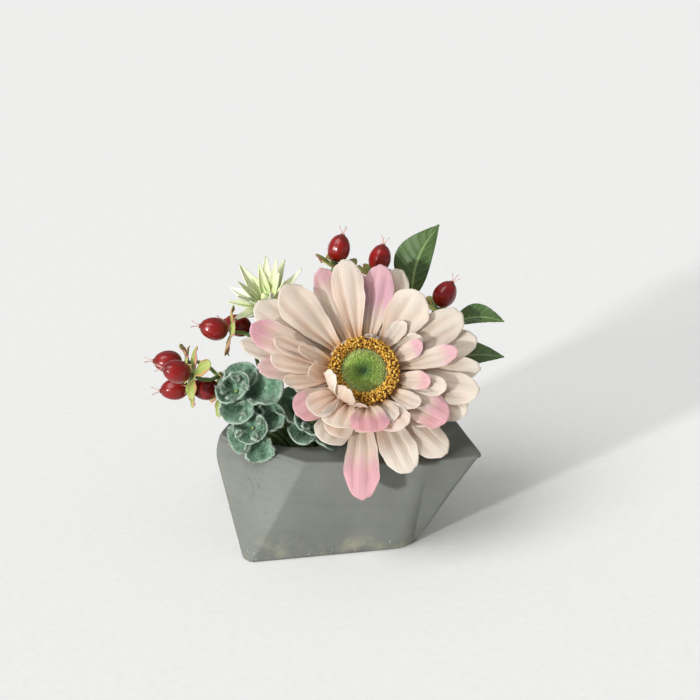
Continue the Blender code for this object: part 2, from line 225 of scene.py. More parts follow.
def makeStage():
    scene = bpy.context.scene
    scene.view_settings.view_transform = "Standard"
    world = bpy.data.worlds.new("studio")
    scene.world = world
    world.use_nodes = True
    back = world.node_tree.nodes["Background"]
    back.inputs["Color"].default_value = (1, 1, 1, 1)
    back.inputs["Strength"].default_value = stageLight["world"]
    for label in ("top", "key"):
        plan = stageLight[label]
        lamp = bpy.data.lights.new(label, "SUN")
        lamp.angle = math.radians(plan["width"])
        lamp.energy = plan["strength"]
        holder = bpy.data.objects.new(label, lamp)
        turn, height = math.radians(plan["turn"]), math.radians(plan["height"])
        towards = (-math.sin(turn) * math.cos(height), -math.cos(turn) * math.cos(height), math.sin(height))
        holder.rotation_euler = Matrix(framesAlong(towards).T.tolist()).to_euler()
        scene.collection.objects.link(holder)
    # painted floor: matt and nearly white, with a faint roller stipple
    material, tree, shader, place = newMaterial("paintedFloor")
    stipple = addNode(tree, "TexNoise", {"Scale": 300.0}, {"Vector": place})
    tint = addNode(tree, "ValToRGB", links={"Fac": stipple}, stops=[(0.3, "#f7f7f6"), (0.7, "#fbfbfa")])
    dressSurface(tree, shader, tint, Roughness=0.9)
    half = 4.0
    mesh = bpy.data.meshes.new("floor")
    mesh.from_pydata([(-half, -half, 0), (half, -half, 0), (half, half, 0), (-half, half, 0)], [],
                     [(0, 1, 2, 3)])
    mesh.materials.append(material)
    floor = bpy.data.objects.new("floor", mesh)
    scene.collection.objects.link(floor)


makeCamera()
makeStage()
print("camera, floor and light")


# Pot

pot = {
    "base": ((-49, -38.5, 3), (-45, -43, 2.2), (25, -29.5, 6), (31.5, -21, 3), (24, 26, 6),
             (-42, 28, 6)),
    "shoulder": ((-63.5, -19, 9), (-24, -42.9, 1.5), (32, -40, 2), (54.3, -33, 4),
                 (38.3, 33.5, 6), (-46, 34.7, 7)),
    "top": ((-60.5, -14, 6), (-20, -43, 1.5), (33, -42.3, 2), (59.3, -35.5, 5), (41, 35, 6),
            (-45, 36, 7)),
    "shoulderHeight": 42.0, "height": 50.0, "rimRound": 1.3, "footRound": 0.9,
    "cup": (-22.0, 0.0), "cupFloor": 11.0, "cupFloorRadius": 18.0, "cupMouthRadius": 26.5,
    "cornerSteps": 14, "edgeSteps": 46, "shoulderRound": 4.0, "lip": 1.0, "rowStep": 0.6,
    "frontSide": -20, "holeDepth": 0.35,
    # air holes: a group on the left of the front, and a row of larger ones along its foot
    "holeGroup": {"count": 24, "middle": (-43.6, 37.5), "spread": (1.9, 4.0), "size": (0.34, 0.62)},
    "footHoles": {"count": 16, "low": (-40, 0), "high": (24, 1.6), "size": (0.5, 1.3)},
}

def potOutline(corners):
    # the plan's loop: a quadratic curve around each corner, and even steps along each side
    loop = []
    count = len(corners)
    here = np.array([corner[:2] for corner in corners], float)
    soft = [corner[2] for corner in corners]
    t = np.linspace(0, 1, pot["cornerSteps"] + 1)[:, None]
    e = np.linspace(0, 1, pot["edgeSteps"] + 1)[1:-1, None]
    for at in range(count):
        last, following = here[at - 1], here[(at + 1) % count]
        start = here[at] + unit(last - here[at]) * soft[at]
        end = here[at] + unit(following - here[at]) * soft[at]
        nextStart = following + unit(here[at] - following) * soft[(at + 1) % count]
        loop.append(start * (1 - t) ** 2 + here[at] * 2 * t * (1 - t) + end * t ** 2)
        loop.append(end + (nextStart - end) * e)
    return np.concatenate(loop)


def makePot(material):
    # The side is ruled between three plan loops, with a soft turn at the shoulder. From there the
    # rows round the rim, cross the flat top to the cup's circle, and go down its tapered wall.
    base, shoulder, top = (potOutline(pot[part]) for part in ("base", "shoulder", "top"))
    height, middle = pot["height"], pot["shoulderHeight"]
    centre = np.array(pot["cup"])

    def inward(loop, by):
        run = unit(np.roll(loop, -1, axis=0) - np.roll(loop, 1, axis=0))
        return loop + np.stack([-run[:, 1], run[:, 0]], axis=1) * by

    def level(plan, z):
        return np.column_stack([plan, np.broadcast_to(z, len(plan))])

    rows = []
    middlePoint = base.mean(axis=0)
    for share in (0.02, 0.3, 0.7, 0.93):
        rows.append(level(middlePoint + (base - middlePoint) * share, 0.0))
    foot = pot["footRound"]
    for turn in np.linspace(0, math.pi / 2, 5):
        rise = foot * (1 - math.cos(turn))
        rows.append(level(inward(base + (shoulder - base) * rise / middle, foot * (1 - math.sin(turn))),
                          rise))
    soft = pot["shoulderRound"]
    for z in np.arange(foot + pot["rowStep"], middle - soft, 0.62):
        rows.append(level(base + (shoulder - base) * z / middle, z))
    below = base + (shoulder - base) * (1 - soft / middle)
    above = shoulder + (top - shoulder) * soft / (height - middle)
    for t in np.linspace(0, 1, 13):
        rows.append(level(below * (1 - t) ** 2 + shoulder * 2 * t * (1 - t) + above * t ** 2,
                          middle - soft + 2 * soft * t))
    rim = pot["rimRound"]
    for z in np.arange(middle + soft + pot["rowStep"], height - rim, pot["rowStep"]):
        rows.append(level(shoulder + (top - shoulder) * (z - middle) / (height - middle), z))
    for turn in np.linspace(0, math.pi / 2, 7):
        rows.append(level(inward(top, rim * (1 - math.cos(turn))), height - rim + rim * math.sin(turn)))
    lip = pot["lip"]
    inner = inward(top, rim)
    angles = np.arctan2(*(inner - centre).T[::-1])
    ring = np.stack([np.cos(angles), np.sin(angles)], axis=1)
    mouth = pot["cupMouthRadius"] + lip
    for share in np.linspace(0.03, 1, 26):
        rows.append(level(inner + (centre + ring * mouth - inner) * share, height))
    for turn in np.linspace(0.2, math.pi / 2, 5):
        rows.append(level(centre + ring * (mouth - lip * math.sin(turn)),
                          height - lip * (1 - math.cos(turn))))
    fall = np.linspace(0, 1, 34)[1:]
    for share in fall:
        radius = pot["cupMouthRadius"] + (pot["cupFloorRadius"] - pot["cupMouthRadius"]) * share
        z = height - lip + (pot["cupFloor"] - height + lip) * share
        rows.append(level(centre + ring * radius, z))
    for share in (0.9, 0.5, 0.02):
        rows.append(level(centre + ring * pot["cupFloorRadius"] * share, pot["cupFloor"]))
    grid = np.array(rows)
    count, around = grid.shape[:2]
    outer = smoothStep(-0.1, 1.5, grid[..., 2])
    away = unit(np.concatenate([grid[..., :2] - grid[..., :2].mean(axis=1, keepdims=True),
                                np.zeros((count, around, 1))], axis=-1))
    swell = 0.16 * wander(grid, 26.0, 3) + 0.07 * wander(grid, 7.0, 4) + 0.03 * wander(grid, 2.2, 5)
    pits = np.zeros((count, around))
    rng = np.random.default_rng(8)
    group, low = pot["holeGroup"], pot["footHoles"]
    holes = [(rng.normal(group["middle"], group["spread"]), rng.uniform(*group["size"]), 1.0, 0.75)
             for each in range(group["count"])]
    holes += [(rng.uniform(low["low"], low["high"]), rng.uniform(*low["size"]), 1.4, 0.8)
              for each in range(low["count"])]
    for (x, z), size, flat, weight in holes:
        gap = np.hypot(grid[..., 0] - x, (grid[..., 2] - z) * flat)
        pits = np.maximum(pits, weight * np.exp(-(gap / size) ** 2) * (grid[..., 1] < pot["frontSide"]))
    inCup = np.arange(count)[:, None] >= count - 3 - len(fall) - 5
    grid = grid + away * ((swell - pot["holeDepth"] * pits) * outer * (1 - 0.8 * inCup))[..., None]
    ends = np.array([[*middlePoint, 0.0], [*centre, pot["cupFloor"]]])
    part = closedGrid(grid, *ends, {"pit": pits, "inCup": inCup.astype(float)})
    addPiece("castPot", [part], material, ["pot"], body="pot")


def castCement():
    # cast cement: matt grey skin from the mould, with cloudy patches, sand grain and air holes
    material, tree, shader, place = newMaterial("castCement")
    cloud = addNode(tree, "TexNoise", {"Scale": 38.0, "Detail": 6.0, "Roughness": 0.62}, {"Vector": place})
    base = addNode(tree, "ValToRGB", links={"Fac": cloud},
                   stops=[(0.3, "#696c65"), (0.5, "#6f726b"), (0.7, "#767971")])
    streakPlace = addNode(tree, "Mapping", {"Scale": (30.0, 30.0, 420.0)}, {"Vector": place})
    streak = addNode(tree, "TexNoise", {"Scale": 1.0, "Detail": 3.0}, {"Vector": streakPlace})
    streakTint = addNode(tree, "ValToRGB", links={"Fac": streak},
                         stops=[(0.35, 0.96), (0.5, 1.0), (0.68, 1.025)])
    streaked = addNode(tree, "Mix", {0: 0.7}, {6: base, 7: streakTint}, **multiply)
    grain = addNode(tree, "TexNoise", {"Scale": 1500.0, "Detail": 3.0, "Roughness": 0.7}, {"Vector": place})
    grainTint = addNode(tree, "ValToRGB", links={"Fac": grain}, stops=[(0.3, 0.9), (0.5, 1.0), (0.7, 1.07)])
    grained = addNode(tree, "Mix", {0: 0.55}, {6: streaked, 7: grainTint}, **multiply)
    # air holes: small dots, 0.5 mm across, in loose groups, and the ones cast into the mesh; their darkness
    # is painted shade inside the holes
    holes = addNode(tree, "TexVoronoi", {"Scale": 230.0, "Randomness": 1.0}, {"Vector": place})
    dot = addNode(tree, "MapRange", {"From Min": 0.05, "From Max": 0.11, "To Min": 1.0, "To Max": 0.0},
                  {"Value": holes})
    groups = addNode(tree, "TexNoise", {"Scale": 55.0, "Detail": 2.0}, {"Vector": place})
    some = addNode(tree, "MapRange", {"From Min": 0.6, "From Max": 0.66}, {"Value": groups})
    sparse = addNode(tree, "Math", links={0: dot, 1: some}, operation="MULTIPLY")
    pit = addNode(tree, "Attribute", gives="Fac", attribute_name="pit")
    holeShade = addNode(tree, "Math", links={0: sparse, 1: pit}, operation="MAXIMUM")
    # near the foot: a faint yellow stain and lime specks, and darker on the lowest millimetre
    height = addNode(tree, "SeparateXYZ", links={"Vector": place}, gives="Z")
    low = addNode(tree, "MapRange", {"From Min": 0.013, "From Max": 0.004}, {"Value": height})
    stain = addNode(tree, "TexNoise", {"Scale": 90.0, "Detail": 3.0}, {"Vector": place})
    stained = addNode(tree, "MapRange", {"From Min": 0.5, "From Max": 0.72, "To Max": 0.55},
                      {"Value": stain})
    stainLow = addNode(tree, "Math", links={0: low, 1: stained}, operation="MULTIPLY")
    speck = addNode(tree, "TexNoise", {"Scale": 520.0, "Detail": 2.0, "Distortion": 1.5}, {"Vector": place})
    specks = addNode(tree, "MapRange", {"From Min": 0.66, "From Max": 0.72, "To Max": 0.6},
                     {"Value": speck})
    limeLow = addNode(tree, "Math", links={0: low, 1: specks}, operation="MULTIPLY")
    edge = addNode(tree, "MapRange", {"From Min": 0.0012, "From Max": 0.0003, "To Max": 0.5},
                   {"Value": height})
    colour = grained
    # the air holes' tint #5f605a is painted shade in them; the stain and lime specks are the cement's own
    # marks
    for amount, tint in ((holeShade, "#5f605a"), (stainLow, "#a8a488"), (limeLow, "#c9cabf"), (edge, "#5a5b54")):
        colour = addNode(tree, "Mix", {7: linear(tint)}, {0: amount, 6: colour}, **blend)
    rough = addNode(tree, "MapRange", {"To Min": 0.78, "To Max": 0.95}, {"Value": cloud})
    tree.links.new(rough, shader.inputs["Roughness"])
    deep = addNode(tree, "Math", {1: -1.5}, {0: sparse}, operation="MULTIPLY")
    surface = addNode(tree, "Math", links={0: grain, 1: deep}, operation="ADD")
    dressSurface(tree, shader, colour, surface, 0.35)
    return material


makePot(castCement())
print("pot")


# Blades: petals, sepals and leaves are all one kind of surface

plainBlade = {
    "rows": 26, "cols": 15, "base": 0.34, "peak": 0.6, "tip": 0.26, "notch": 0.0, "taper": 0.0,
    "cup": 0.25, "cupFade": 1.5, "channel": 0.5, "pleat": 0.6, "pleatAt": 0.36, "ribs": 0.12,
    "wave": 0.25, "waves": 1.7, "bend": 1.5, "hub": 14.0, "uneven": 0.4,
}


def blade(style, number, angle, length, width, lift=0.0, curl=0.0, sway=0.0, roll=0.0):
    # The middle line starts on the hub circle and runs outwards at its angle. It rises at lift,
    # turns by curl as distance to the power bend, and sideways by sway. A point at v across stands
    # off by v half widths and rises by the cup (v squared), less two pleats, plus a wavy edge.
    k = np.linspace(0, 1, 65)
    slope = np.radians(lift + curl * k ** style["bend"])
    turn = np.radians(angle + sway * k ** 2)
    step = np.stack([np.cos(slope) * np.cos(turn), np.cos(slope) * np.sin(turn), np.sin(slope)], axis=1)
    hub = style["hub"]
    start = np.array([math.cos(math.radians(angle)), math.sin(math.radians(angle)), 0.0]) * hub
    run = np.vstack([np.zeros(3), np.cumsum((step[1:] + step[:-1]) / 2, axis=0)]) * (length - hub) / 64
    line = start + run
    rng = np.random.default_rng(number)
    phase = rng.uniform(0, math.tau, 4)
    u = np.linspace(0, 1, style["rows"])[:, None]
    v = np.sin(np.linspace(-math.pi / 2, math.pi / 2, style["cols"]))[None, :]
    tipLine = 1 - style["tip"] * (1 - np.sqrt(np.maximum(1 - v ** 2, 0)))
    nicks = np.exp(-((v - 0.3) / 0.09) ** 2) + np.exp(-((v + 0.42) / 0.1) ** 2) * rng.uniform(0.2, 1)
    ragged = nicks + 0.6 * np.sin(11 * v + phase[2]) + 2.0 * v * math.sin(phase[1])
    tipLine = tipLine - style["notch"] * ragged
    s = u * tipLine
    v = v + 0 * s
    early = np.clip(s / style["peak"], 0, 1)
    half = style["base"] + (1 - style["base"]) * np.sin(math.pi / 2 * early) ** 1.3
    late = np.clip((s - style["peak"]) / (1 - style["peak"]), 0, 1)
    half = half * (1 - style["taper"] * late ** 1.25)
    uneven = 0.035 * np.sin(19 * s + 2.2 * np.sign(v) + phase[3])
    uneven = uneven + 0.02 * np.sin(37 * s + phase[0] - np.sign(v))
    half = 0.5 * width * np.maximum(half, 0.03) * (1 + style["uneven"] * uneven * smoothStep(0.2, 0.6, s))
    inside = smoothStep(0.0, 0.12, s) * (1 - smoothStep(0.8, 0.98, s))
    rise = style["cup"] * v ** 2 * half * (1 - style["cupFade"] * s)
    rise = rise + style["channel"] * v ** 2 * half * np.exp(-s / 0.22)
    groove = 0 * s
    for side in (-1, 1):
        place = side * style["pleatAt"] * (0.8 + 0.35 * s) + 0.07 * math.sin(phase[0] + side)
        groove = groove + np.exp(-((v - place) / 0.13) ** 2) * inside * (1 - 0.5 * s)
    rise = rise - style["pleat"] * groove
    rise = rise + style["ribs"] * np.cos(9 * math.pi * v + phase[1]) * inside * (1 - 0.6 * s)
    ruffle = np.sin(math.tau * style["waves"] * s + phase[2] + 1.3 * v)
    rise = rise + style["wave"] * ruffle * np.abs(v) ** 2.5 * smoothStep(0.15, 0.7, s) * width / 12
    along = np.stack([np.interp(s, k, step[:, axis]) for axis in range(3)], axis=-1)
    turnHere = np.interp(s, k, turn)
    side = np.stack([-np.sin(turnHere), np.cos(turnHere), 0 * s], axis=-1)
    normal = np.cross(along, side)
    lean = np.radians(roll * s)[..., None]
    sideNow = side * np.cos(lean) + normal * np.sin(lean)
    normalNow = normal * np.cos(lean) - side * np.sin(lean)
    middle = np.stack([np.interp(s, k, line[:, axis]) for axis in range(3)], axis=-1)
    points = middle + sideNow * (v * half)[..., None] + normalNow * rise[..., None]
    layers = {"along": s, "across": v, "number": np.full(s.shape, rng.uniform(0, 1)), "groove": groove}
    return points, layers, normalNow


def bladeRing(style, plans, bore, centre, frameRows):
    # A ring of blades, and the die-cut disc that holds them: the blades' first rows, joined inwards
    # to the bore. Each plan is what blade() takes after its style.
    made = [blade(style, *plan) for plan in plans]
    first = np.concatenate([points[0] for points, layers, normals in made])
    turn = np.arctan2(first[:, 1], first[:, 0])
    inner = aboutAxis(bore, turn, 0.0)
    disc = np.concatenate([inner, inner + (first - inner) * 0.6, first])
    marks = {"along": 0.0, "across": 0.0, "number": 0.5, "groove": 0.0}
    quads = gridQuads(style["rows"], style["cols"])
    parts = [(points @ frameRows + centre, quads, [], layers) for points, layers, normals in made]
    parts.append((disc @ frameRows + centre, gridQuads(3, len(first), True), [],
                  {name: np.full(len(disc), value) for name, value in marks.items()}))
    return parts, made


# Gerbera

gerbera = {
    "centre": (5.8, -24.0, 84.0), "axis": (0.05, -0.74, 0.67), "bore": 1.65, "thickness": 0.18,
    "blushLength": 0.3,
    "petal": {**plainBlade, "rows": 34, "cols": 19, "base": 0.2, "peak": 0.72, "tip": 0.3, "taper": 0.07,
              "notch": 0.012, "pleat": 1.0, "ribs": 0.1, "wave": 0.6, "uneven": 0.8},
    "shortPetal": {**plainBlade, "tip": 0.34, "taper": 0.1, "base": 0.42, "peak": 0.62, "notch": 0.03,
                   "pleat": 0.6, "pleatAt": 0.3, "ribs": 0.12, "wave": 0.5, "uneven": 1.2, "hub": 15.2},
}

# Petals by ring: angle, length, width, lift, curl, sway, roll, blush and where the blush starts.
# A blush below nothing marks a petal that stays tan by that share of its length, as painted shade
# on the petals that lie in the flower's shade near its middle.
petalRings = {
    "back": (-1.5, [
        (1, 52.5, 12, 2, 4, 2, 45, 0.0, 0.8), (18.5, 54, 16, 4, 0, -5, -6, 0.0, 0.8),
        (43, 34, 13, 4, 0, 0, 0, 0.0, 0.8), (69, 53, 15, 5, 0, 2, 8, 0.05, 0.7),
        (89, 47.5, 13, 6, 0, 0, -12, 0.6, 0.1), (121, 40, 14, 3, 2, 0, 0, 0.1, 0.7),
        (143, 58, 18, 4, 0, 0, 6, 0.0, 0.8), (164, 56.5, 12, 3, 2, -3, 16, 0.0, 0.8),
        (190, 30, 12, 4, 0, 0, 0, 0.1, 0.7), (215, 28, 13, 5, 0, 0, 0, 0.0, 0.7),
        (240, 36.5, 16, 2, 14, 0, 0, 0.0, 0.7), (266.6, 56.3, 15.6, 5, -28, 0, 4, 1.0, 0.42),
        (289, 38, 13, 4, 0, 0, 0, 0.0, 0.7), (311, 51.5, 16.5, 4, 2, 2, -8, 0.0, 0.8),
        (337, 49, 16, 5, 2, 0, 10, 0.0, 0.8)]),
    "mid": (-0.2, [
        (7, 32, 11, 8, 4, 0, 0, 0.0, 0.7), (29, 52.5, 16, 8, 2, 0, 8, 0.0, 0.7),
        (54, 32, 13, 9, 2, 0, 0, 0.0, 0.7), (77.7, 51.5, 14.5, 9, 3, 2, -10, 0.85, 0.3),
        (109.7, 52.5, 13.5, 8, 3, 0, 8, 0.85, 0.62), (133, 38, 14, 8, 2, 0, 0, 0.0, 0.7),
        (157, 54.7, 14.5, 9, 14, 4, -6, 0.95, 0.62), (174.5, 47, 12, 5, 4, 2, 6, 0.6, 0.55),
        (190, 32, 9, 8, 0, 0, 0, 0.0, 0.7), (210, 36, 15, 13, -10, 4, 4, 0.95, 0.42),
        (243, 33, 14, 16, -8, 0, 0, 0.0, 0.7), (268, 28, 13, 12, 0, 0, 0, 0.0, 0.7),
        (291, 49.5, 16, 8, -14, 2, 6, 0.0, 0.7), (320, 38, 12, 9, 0, 0, 0, 0.1, 0.7),
        (348, 52, 16, 6, 4, 0, -8, 0.0, 0.7)]),
    "front": (1.1, [
        (9, 43.5, 9.5, 15, 4, 0, 12, 0.85, 0.62), (30, 31, 9, 17, 4, 0, 0, 0.0, 0.7),
        (52, 45, 19, 14, 8, 0, 8, 0.0, 0.8), (75, 19, 7, 12, 0, 0, 0, 0.0, 0.7),
        (98, 52.5, 15, 14, 4, 0, -4, 0.05, 0.8), (133, 53, 18, 14, 6, 0, 6, 0.0, 0.8),
        (161, 43.5, 9.5, 20, 6, 2, 14, -0.25, 0.8), (173, 43, 9.5, 18, 4, -3, -10, -0.25, 0.8),
        (188, 37, 8.5, 16, 4, 0, 20, -0.3, 0.8), (219, 34, 13.5, 34, -12, -4, 8, 0.0, 0.8),
        (241, 34, 15.5, 38, -16, 6, 6, 0.0, 0.8),
        (273, 35, 17.5, 42, -14, -4, 0, 0.95, 0.3), (297, 35, 14, 32, -12, 0, 0, 0.1, 0.6),
        (326, 43.5, 17, 14, -6, 0, -8, 0.95, 0.5), (345, 38, 10, 16, 0, 0, 10, 0.05, 0.7)]),
    "inner": (2.4, [
        (22, 30, 8, 24, 8, 0, 10, 0.85, 0.5), (50, 30, 8.5, 14, 4, 4, -16, 0.05, 0.6),
        (73, 17, 6, 10, 0, 0, 0, -0.2, 0.6), (94, 16.8, 6, 10, 0, 0, 0, -0.3, 0.6),
        (115, 17, 6, 10, 0, 0, 0, -0.2, 0.6), (137, 17, 6.5, 10, 0, 0, 0, -0.3, 0.6),
        (160, 32, 7, 24, 8, 3, 14, -0.4, 0.6), (184, 31, 9, 46, 30, -16, -24, -0.2, 0.8),
        (207, 32, 11.5, 62, 78, -12, 0, 0.0, 0.8), (231, 31, 13.5, 60, 88, 8, 0, -0.5, 0.8),
        (258, 24, 9.5, 55, 60, 6, 0, -0.45, 0.7), (297, 29, 8.5, 30, 0, 6, 12, 0.1, 0.6),
        (322, 31, 8.5, 24, 2, 4, -10, 0.1, 0.6), (347, 31, 8.5, 22, 6, 0, 12, 0.85, 0.5)]),
}


def makePetals(material):
    frameRows = framesAlong(gerbera["axis"])
    for ring, (seat, petals) in petalRings.items():
        style = gerbera["shortPetal" if ring == "inner" else "petal"]
        centre = np.array(gerbera["centre"]) + frameRows[2] * seat
        plans = [(100 * len(ring) + 7 * number, *petal[:7]) for number, petal in enumerate(petals)]
        parts, made = bladeRing(style, plans, gerbera["bore"], centre, frameRows)
        for (points, layers, normals), (*plan, blush, start) in zip(made, petals):
            # a blush below nothing stretches the tan throat along the petal as painted shade
            if blush < 0:
                layers["along"] = layers["along"] * (1 + blush)
                blush = 0.0
            reach = layers["along"] + 0.04 * np.cos(9 * layers["across"])
            layers["blush"] = blush * smoothStep(start, min(start + gerbera["blushLength"], 1.0), reach)
        parts[-1][3]["blush"] = np.zeros(len(parts[-1][0]))
        addPiece("gerberaPetals_" + ring, parts, material, ["gerbera_petals_" + ring],
                 thickness=gerbera["thickness"])


def pressedSilk():
    # polyester silk, dyed and hot-pressed: cream with a tan throat, deepened to brown at the root as
    # painted shade, pink airbrushed tips, fine lengthwise pleats, and a soft satin sheen from the weave
    material, tree, shader, place = newMaterial("pressedSilk")
    along, across, number, blush, groove = [addNode(tree, "Attribute", gives="Fac", attribute_name=layer)
                                            for layer in ("along", "across", "number", "blush", "groove")]
    mottle = addNode(tree, "TexNoise", {"Scale": 160.0, "Detail": 4.0}, {"Vector": place})
    shift = addNode(tree, "Math", {1: 0.16}, {0: mottle}, operation="MULTIPLY")
    reach = addNode(tree, "Math", links={0: along, 1: shift}, operation="ADD")
    # tan dye at the root with painted shade: the darkest brown nearest the hub stands for the shade where
    # the petals crowd
    throatDyeAndShade = addNode(tree, "ValToRGB", links={"Fac": reach},
                     stops=[(0.06, "#a3673a"), (0.18, "#c5946c"), (0.34, "#d5b7a2"), (0.7, "#d9c0ae"),
                            (1.0, "#dbc6b5")])
    # pleat lines: 7 or so across each petal, as waves of the place across it
    lines = addNode(tree, "CombineXYZ", {"Z": 0.0}, {"X": across, "Y": number})
    threads = addNode(tree, "TexNoise", {"Scale": 7.0, "Detail": 4.0, "Roughness": 0.7}, {"Vector": lines})
    line = addNode(tree, "ValToRGB", links={"Fac": threads}, stops=[(0.36, "#ead9c8"), (0.5, "#ffffff")])
    fade = addNode(tree, "MapRange", {"From Min": 0.1, "From Max": 0.9, "To Min": 0.8, "To Max": 0.15},
                   {"Value": along})
    pleated = addNode(tree, "Mix", links={0: fade, 6: throatDyeAndShade, 7: line}, **multiply)
    pinkTone = addNode(tree, "ValToRGB", links={"Fac": number}, stops=[(0.2, "#d6959a"), (0.8, "#cb8b9b")])
    pink = addNode(tree, "Mix", links={0: blush, 6: pleated, 7: pinkTone}, **blend)
    tone = addNode(tree, "ValToRGB", links={"Fac": number}, stops=[(0.0, 0.95), (1.0, 1.0)])
    own = addNode(tree, "Mix", {0: 1.0}, {6: pink, 7: tone}, **multiply)
    # painted shade: each petal's two pleat grooves darkened towards tan by their depth
    pressed = addNode(tree, "MapRange", {"From Max": 0.9, "To Max": 0.38}, {"Value": groove})
    foldShaded = addNode(tree, "Mix", {7: linear("#c79c7c")}, {0: pressed, 6: own}, **multiply)
    # weave: threads 0.25 mm apart are too fine to show, so it is drawn at 0.7 mm
    weave = addNode(tree, "TexNoise", {"Scale": 1400.0, "Detail": 2.0}, {"Vector": place})
    height = addNode(tree, "Math", {1: 0.3}, {0: weave}, operation="MULTIPLY")
    both = addNode(tree, "Math", links={0: height, 1: threads}, operation="ADD")
    dressSurface(tree, shader, foldShaded, both, 0.5, 0.0006, Roughness=0.62, Sheen_Weight=0.08,
                 Sheen_Roughness=0.4, Subsurface_Weight=0.5, Subsurface_Scale=0.0025,
                 Subsurface_Radius=(1.0, 0.6, 0.45))
    return material


def scatter(templatePoints, templateTris, centres, frames, sizes, layers):
    # a small closed shape repeated: each copy is scaled, turned by its frame and moved to its centre
    shaped = templatePoints[None] * sizes[:, None, :]
    points = np.einsum("nkc,ncd->nkd", shaped, frames) + centres[:, None, :]
    tris = templateTris[None] + (np.arange(len(centres)) * len(templatePoints))[:, None, None]
    marks = {name: np.repeat(values, len(templatePoints)) for name, values in layers.items()}
    return points.reshape(-1, 3), [], tris.reshape(-1, 3), marks


spike = (np.array([[1, 0, 0], [-0.5, 0.87, 0], [-0.5, -0.87, 0], [0, 0, 1]], float),
         np.array([[0, 1, 3], [1, 2, 3], [2, 0, 3], [0, 2, 1]]))
crumb = (np.array([[1, 0, 0], [0, 1, 0], [-1, 0, 0], [0, -1, 0], [0, 0, 1], [0, 0, -1]], float),
         np.array([[0, 1, 4], [1, 2, 4], [2, 3, 4], [3, 0, 4], [1, 0, 5], [2, 1, 5], [3, 2, 5], [0, 3, 5]]))


flowerHeart = {
    "ringInner": 10.4, "ringOuter": 15.4, "ringLow": 3.0, "ringHigh": 8.2, "grains": 820,
    "grainSize": (0.42, 0.85), "eyeRadius": 10.9, "eyeLow": 3.2, "eyeRise": 3.9, "dimple": 1.1,
    "dimpleWidth": 0.24, "fibres": 1500, "fibreWidth": (0.22, 0.38), "fibreLength": (0.9, 1.7),
}


def eyeDome(r):
    # a superellipse of power 2.4, less a bell-shaped dimple in its middle
    return (flowerHeart["eyeLow"] + flowerHeart["eyeRise"] * np.sqrt(np.maximum(1 - r ** 2.4, 0))
            - flowerHeart["dimple"] * np.exp(-(r / flowerHeart["dimpleWidth"]) ** 2))


def makeStamens(material):
    # A ring of oval section, roughened, and grains over it whose radius and turn are drawn at
    # random. The eye's fibres go on with the same draws.
    frameRows = framesAlong(gerbera["axis"])
    centre = np.array(gerbera["centre"])
    rng = np.random.default_rng(21)
    inner, outer = flowerHeart["ringInner"], flowerHeart["ringOuter"]
    low, high = flowerHeart["ringLow"], flowerHeart["ringHigh"]
    section = np.linspace(0, math.tau, 18)[:-1, None]
    turn = np.linspace(0, math.tau, 96, endpoint=False)[None, :]
    radius = (inner + outer) / 2 - 0.5 * (outer - inner) * np.cos(section)
    height = (low + high) / 2 - 0.7 + 0.5 * (high - low - 1.2) * np.sin(section)
    grid = aboutAxis(radius, turn, height)
    grid = grid + 0.25 * wander(grid, 2.0, 6)[..., None]
    rows, cols = grid.shape[:2]
    at = np.arange(cols)
    last = (rows - 1) * cols + at
    after = (at + 1) % cols
    seam = np.stack([last, at, after, last - at + after], axis=1)
    quads = np.concatenate([gridQuads(rows, cols, True), seam])
    ring = (grid @ frameRows + centre, quads, [], {"tone": np.zeros(rows * cols)})
    count = flowerHeart["grains"]
    bow = math.pi * rng.uniform(0.02, 0.98, count)
    where = rng.uniform(0, math.tau, count)
    out = inner + (outer - inner) * (0.5 - 0.5 * np.cos(bow)) + rng.normal(0, 0.2, count)
    up = low + 1.4 + (high - low - 1.6) * np.sin(bow) ** 0.7 + rng.normal(0, 0.35, count)
    frames = framesAlong(rng.normal(size=(count, 3)), rng.uniform(0, 360, count))
    sizes = rng.uniform(*flowerHeart["grainSize"], (count, 3))
    grains = scatter(*crumb, aboutAxis(out, where, up), frames, sizes,
                     {"tone": rng.uniform(0.25, 1.0, count)})
    grains = (grains[0] @ frameRows + centre, *grains[1:])
    addPiece("gerberaStamens", [ring, grains], material, ["gerbera_stamens"])
    return rng


def makeEye(material, rng):
    # A domed button closed underneath, with fibres on it that lean out more towards its edge.
    frameRows = framesAlong(gerbera["axis"])
    centre = np.array(gerbera["centre"])
    size = flowerHeart["eyeRadius"]
    turn = np.linspace(0, math.tau, 96, endpoint=False)[None, :]
    r = np.linspace(1, 0.02, 20)[:, None]
    placed = aboutAxis(size * r, turn, eyeDome(r)) @ frameRows + centre
    low, high = (np.array([0, 0, z]) @ frameRows + centre for z in (3.0, eyeDome(0.02)))
    base = closedGrid(placed, low, high, {"radius": r, "tone": 0.0})
    count = flowerHeart["fibres"]
    far = np.sqrt(rng.uniform(0, 1, count))
    where = rng.uniform(0, math.tau, count)
    spots = aboutAxis(size * far, where, eyeDome(far) - 0.2)
    lean = aboutAxis(far * 1.1, where, 1.0)
    frames = framesAlong(lean + rng.normal(0, 0.4, (count, 3)), rng.uniform(0, 360, count))
    sizes = np.stack([rng.uniform(*flowerHeart["fibreWidth"], count)] * 2
                     + [rng.uniform(*flowerHeart["fibreLength"], count)], axis=1)
    fibres = scatter(*spike, spots, frames, sizes, {"radius": far, "tone": rng.uniform(0.2, 1, count)})
    fibres = (fibres[0] @ frameRows + centre, *fibres[1:])
    addPiece("gerberaEye", [base, fibres], material, ["gerbera_eye"])


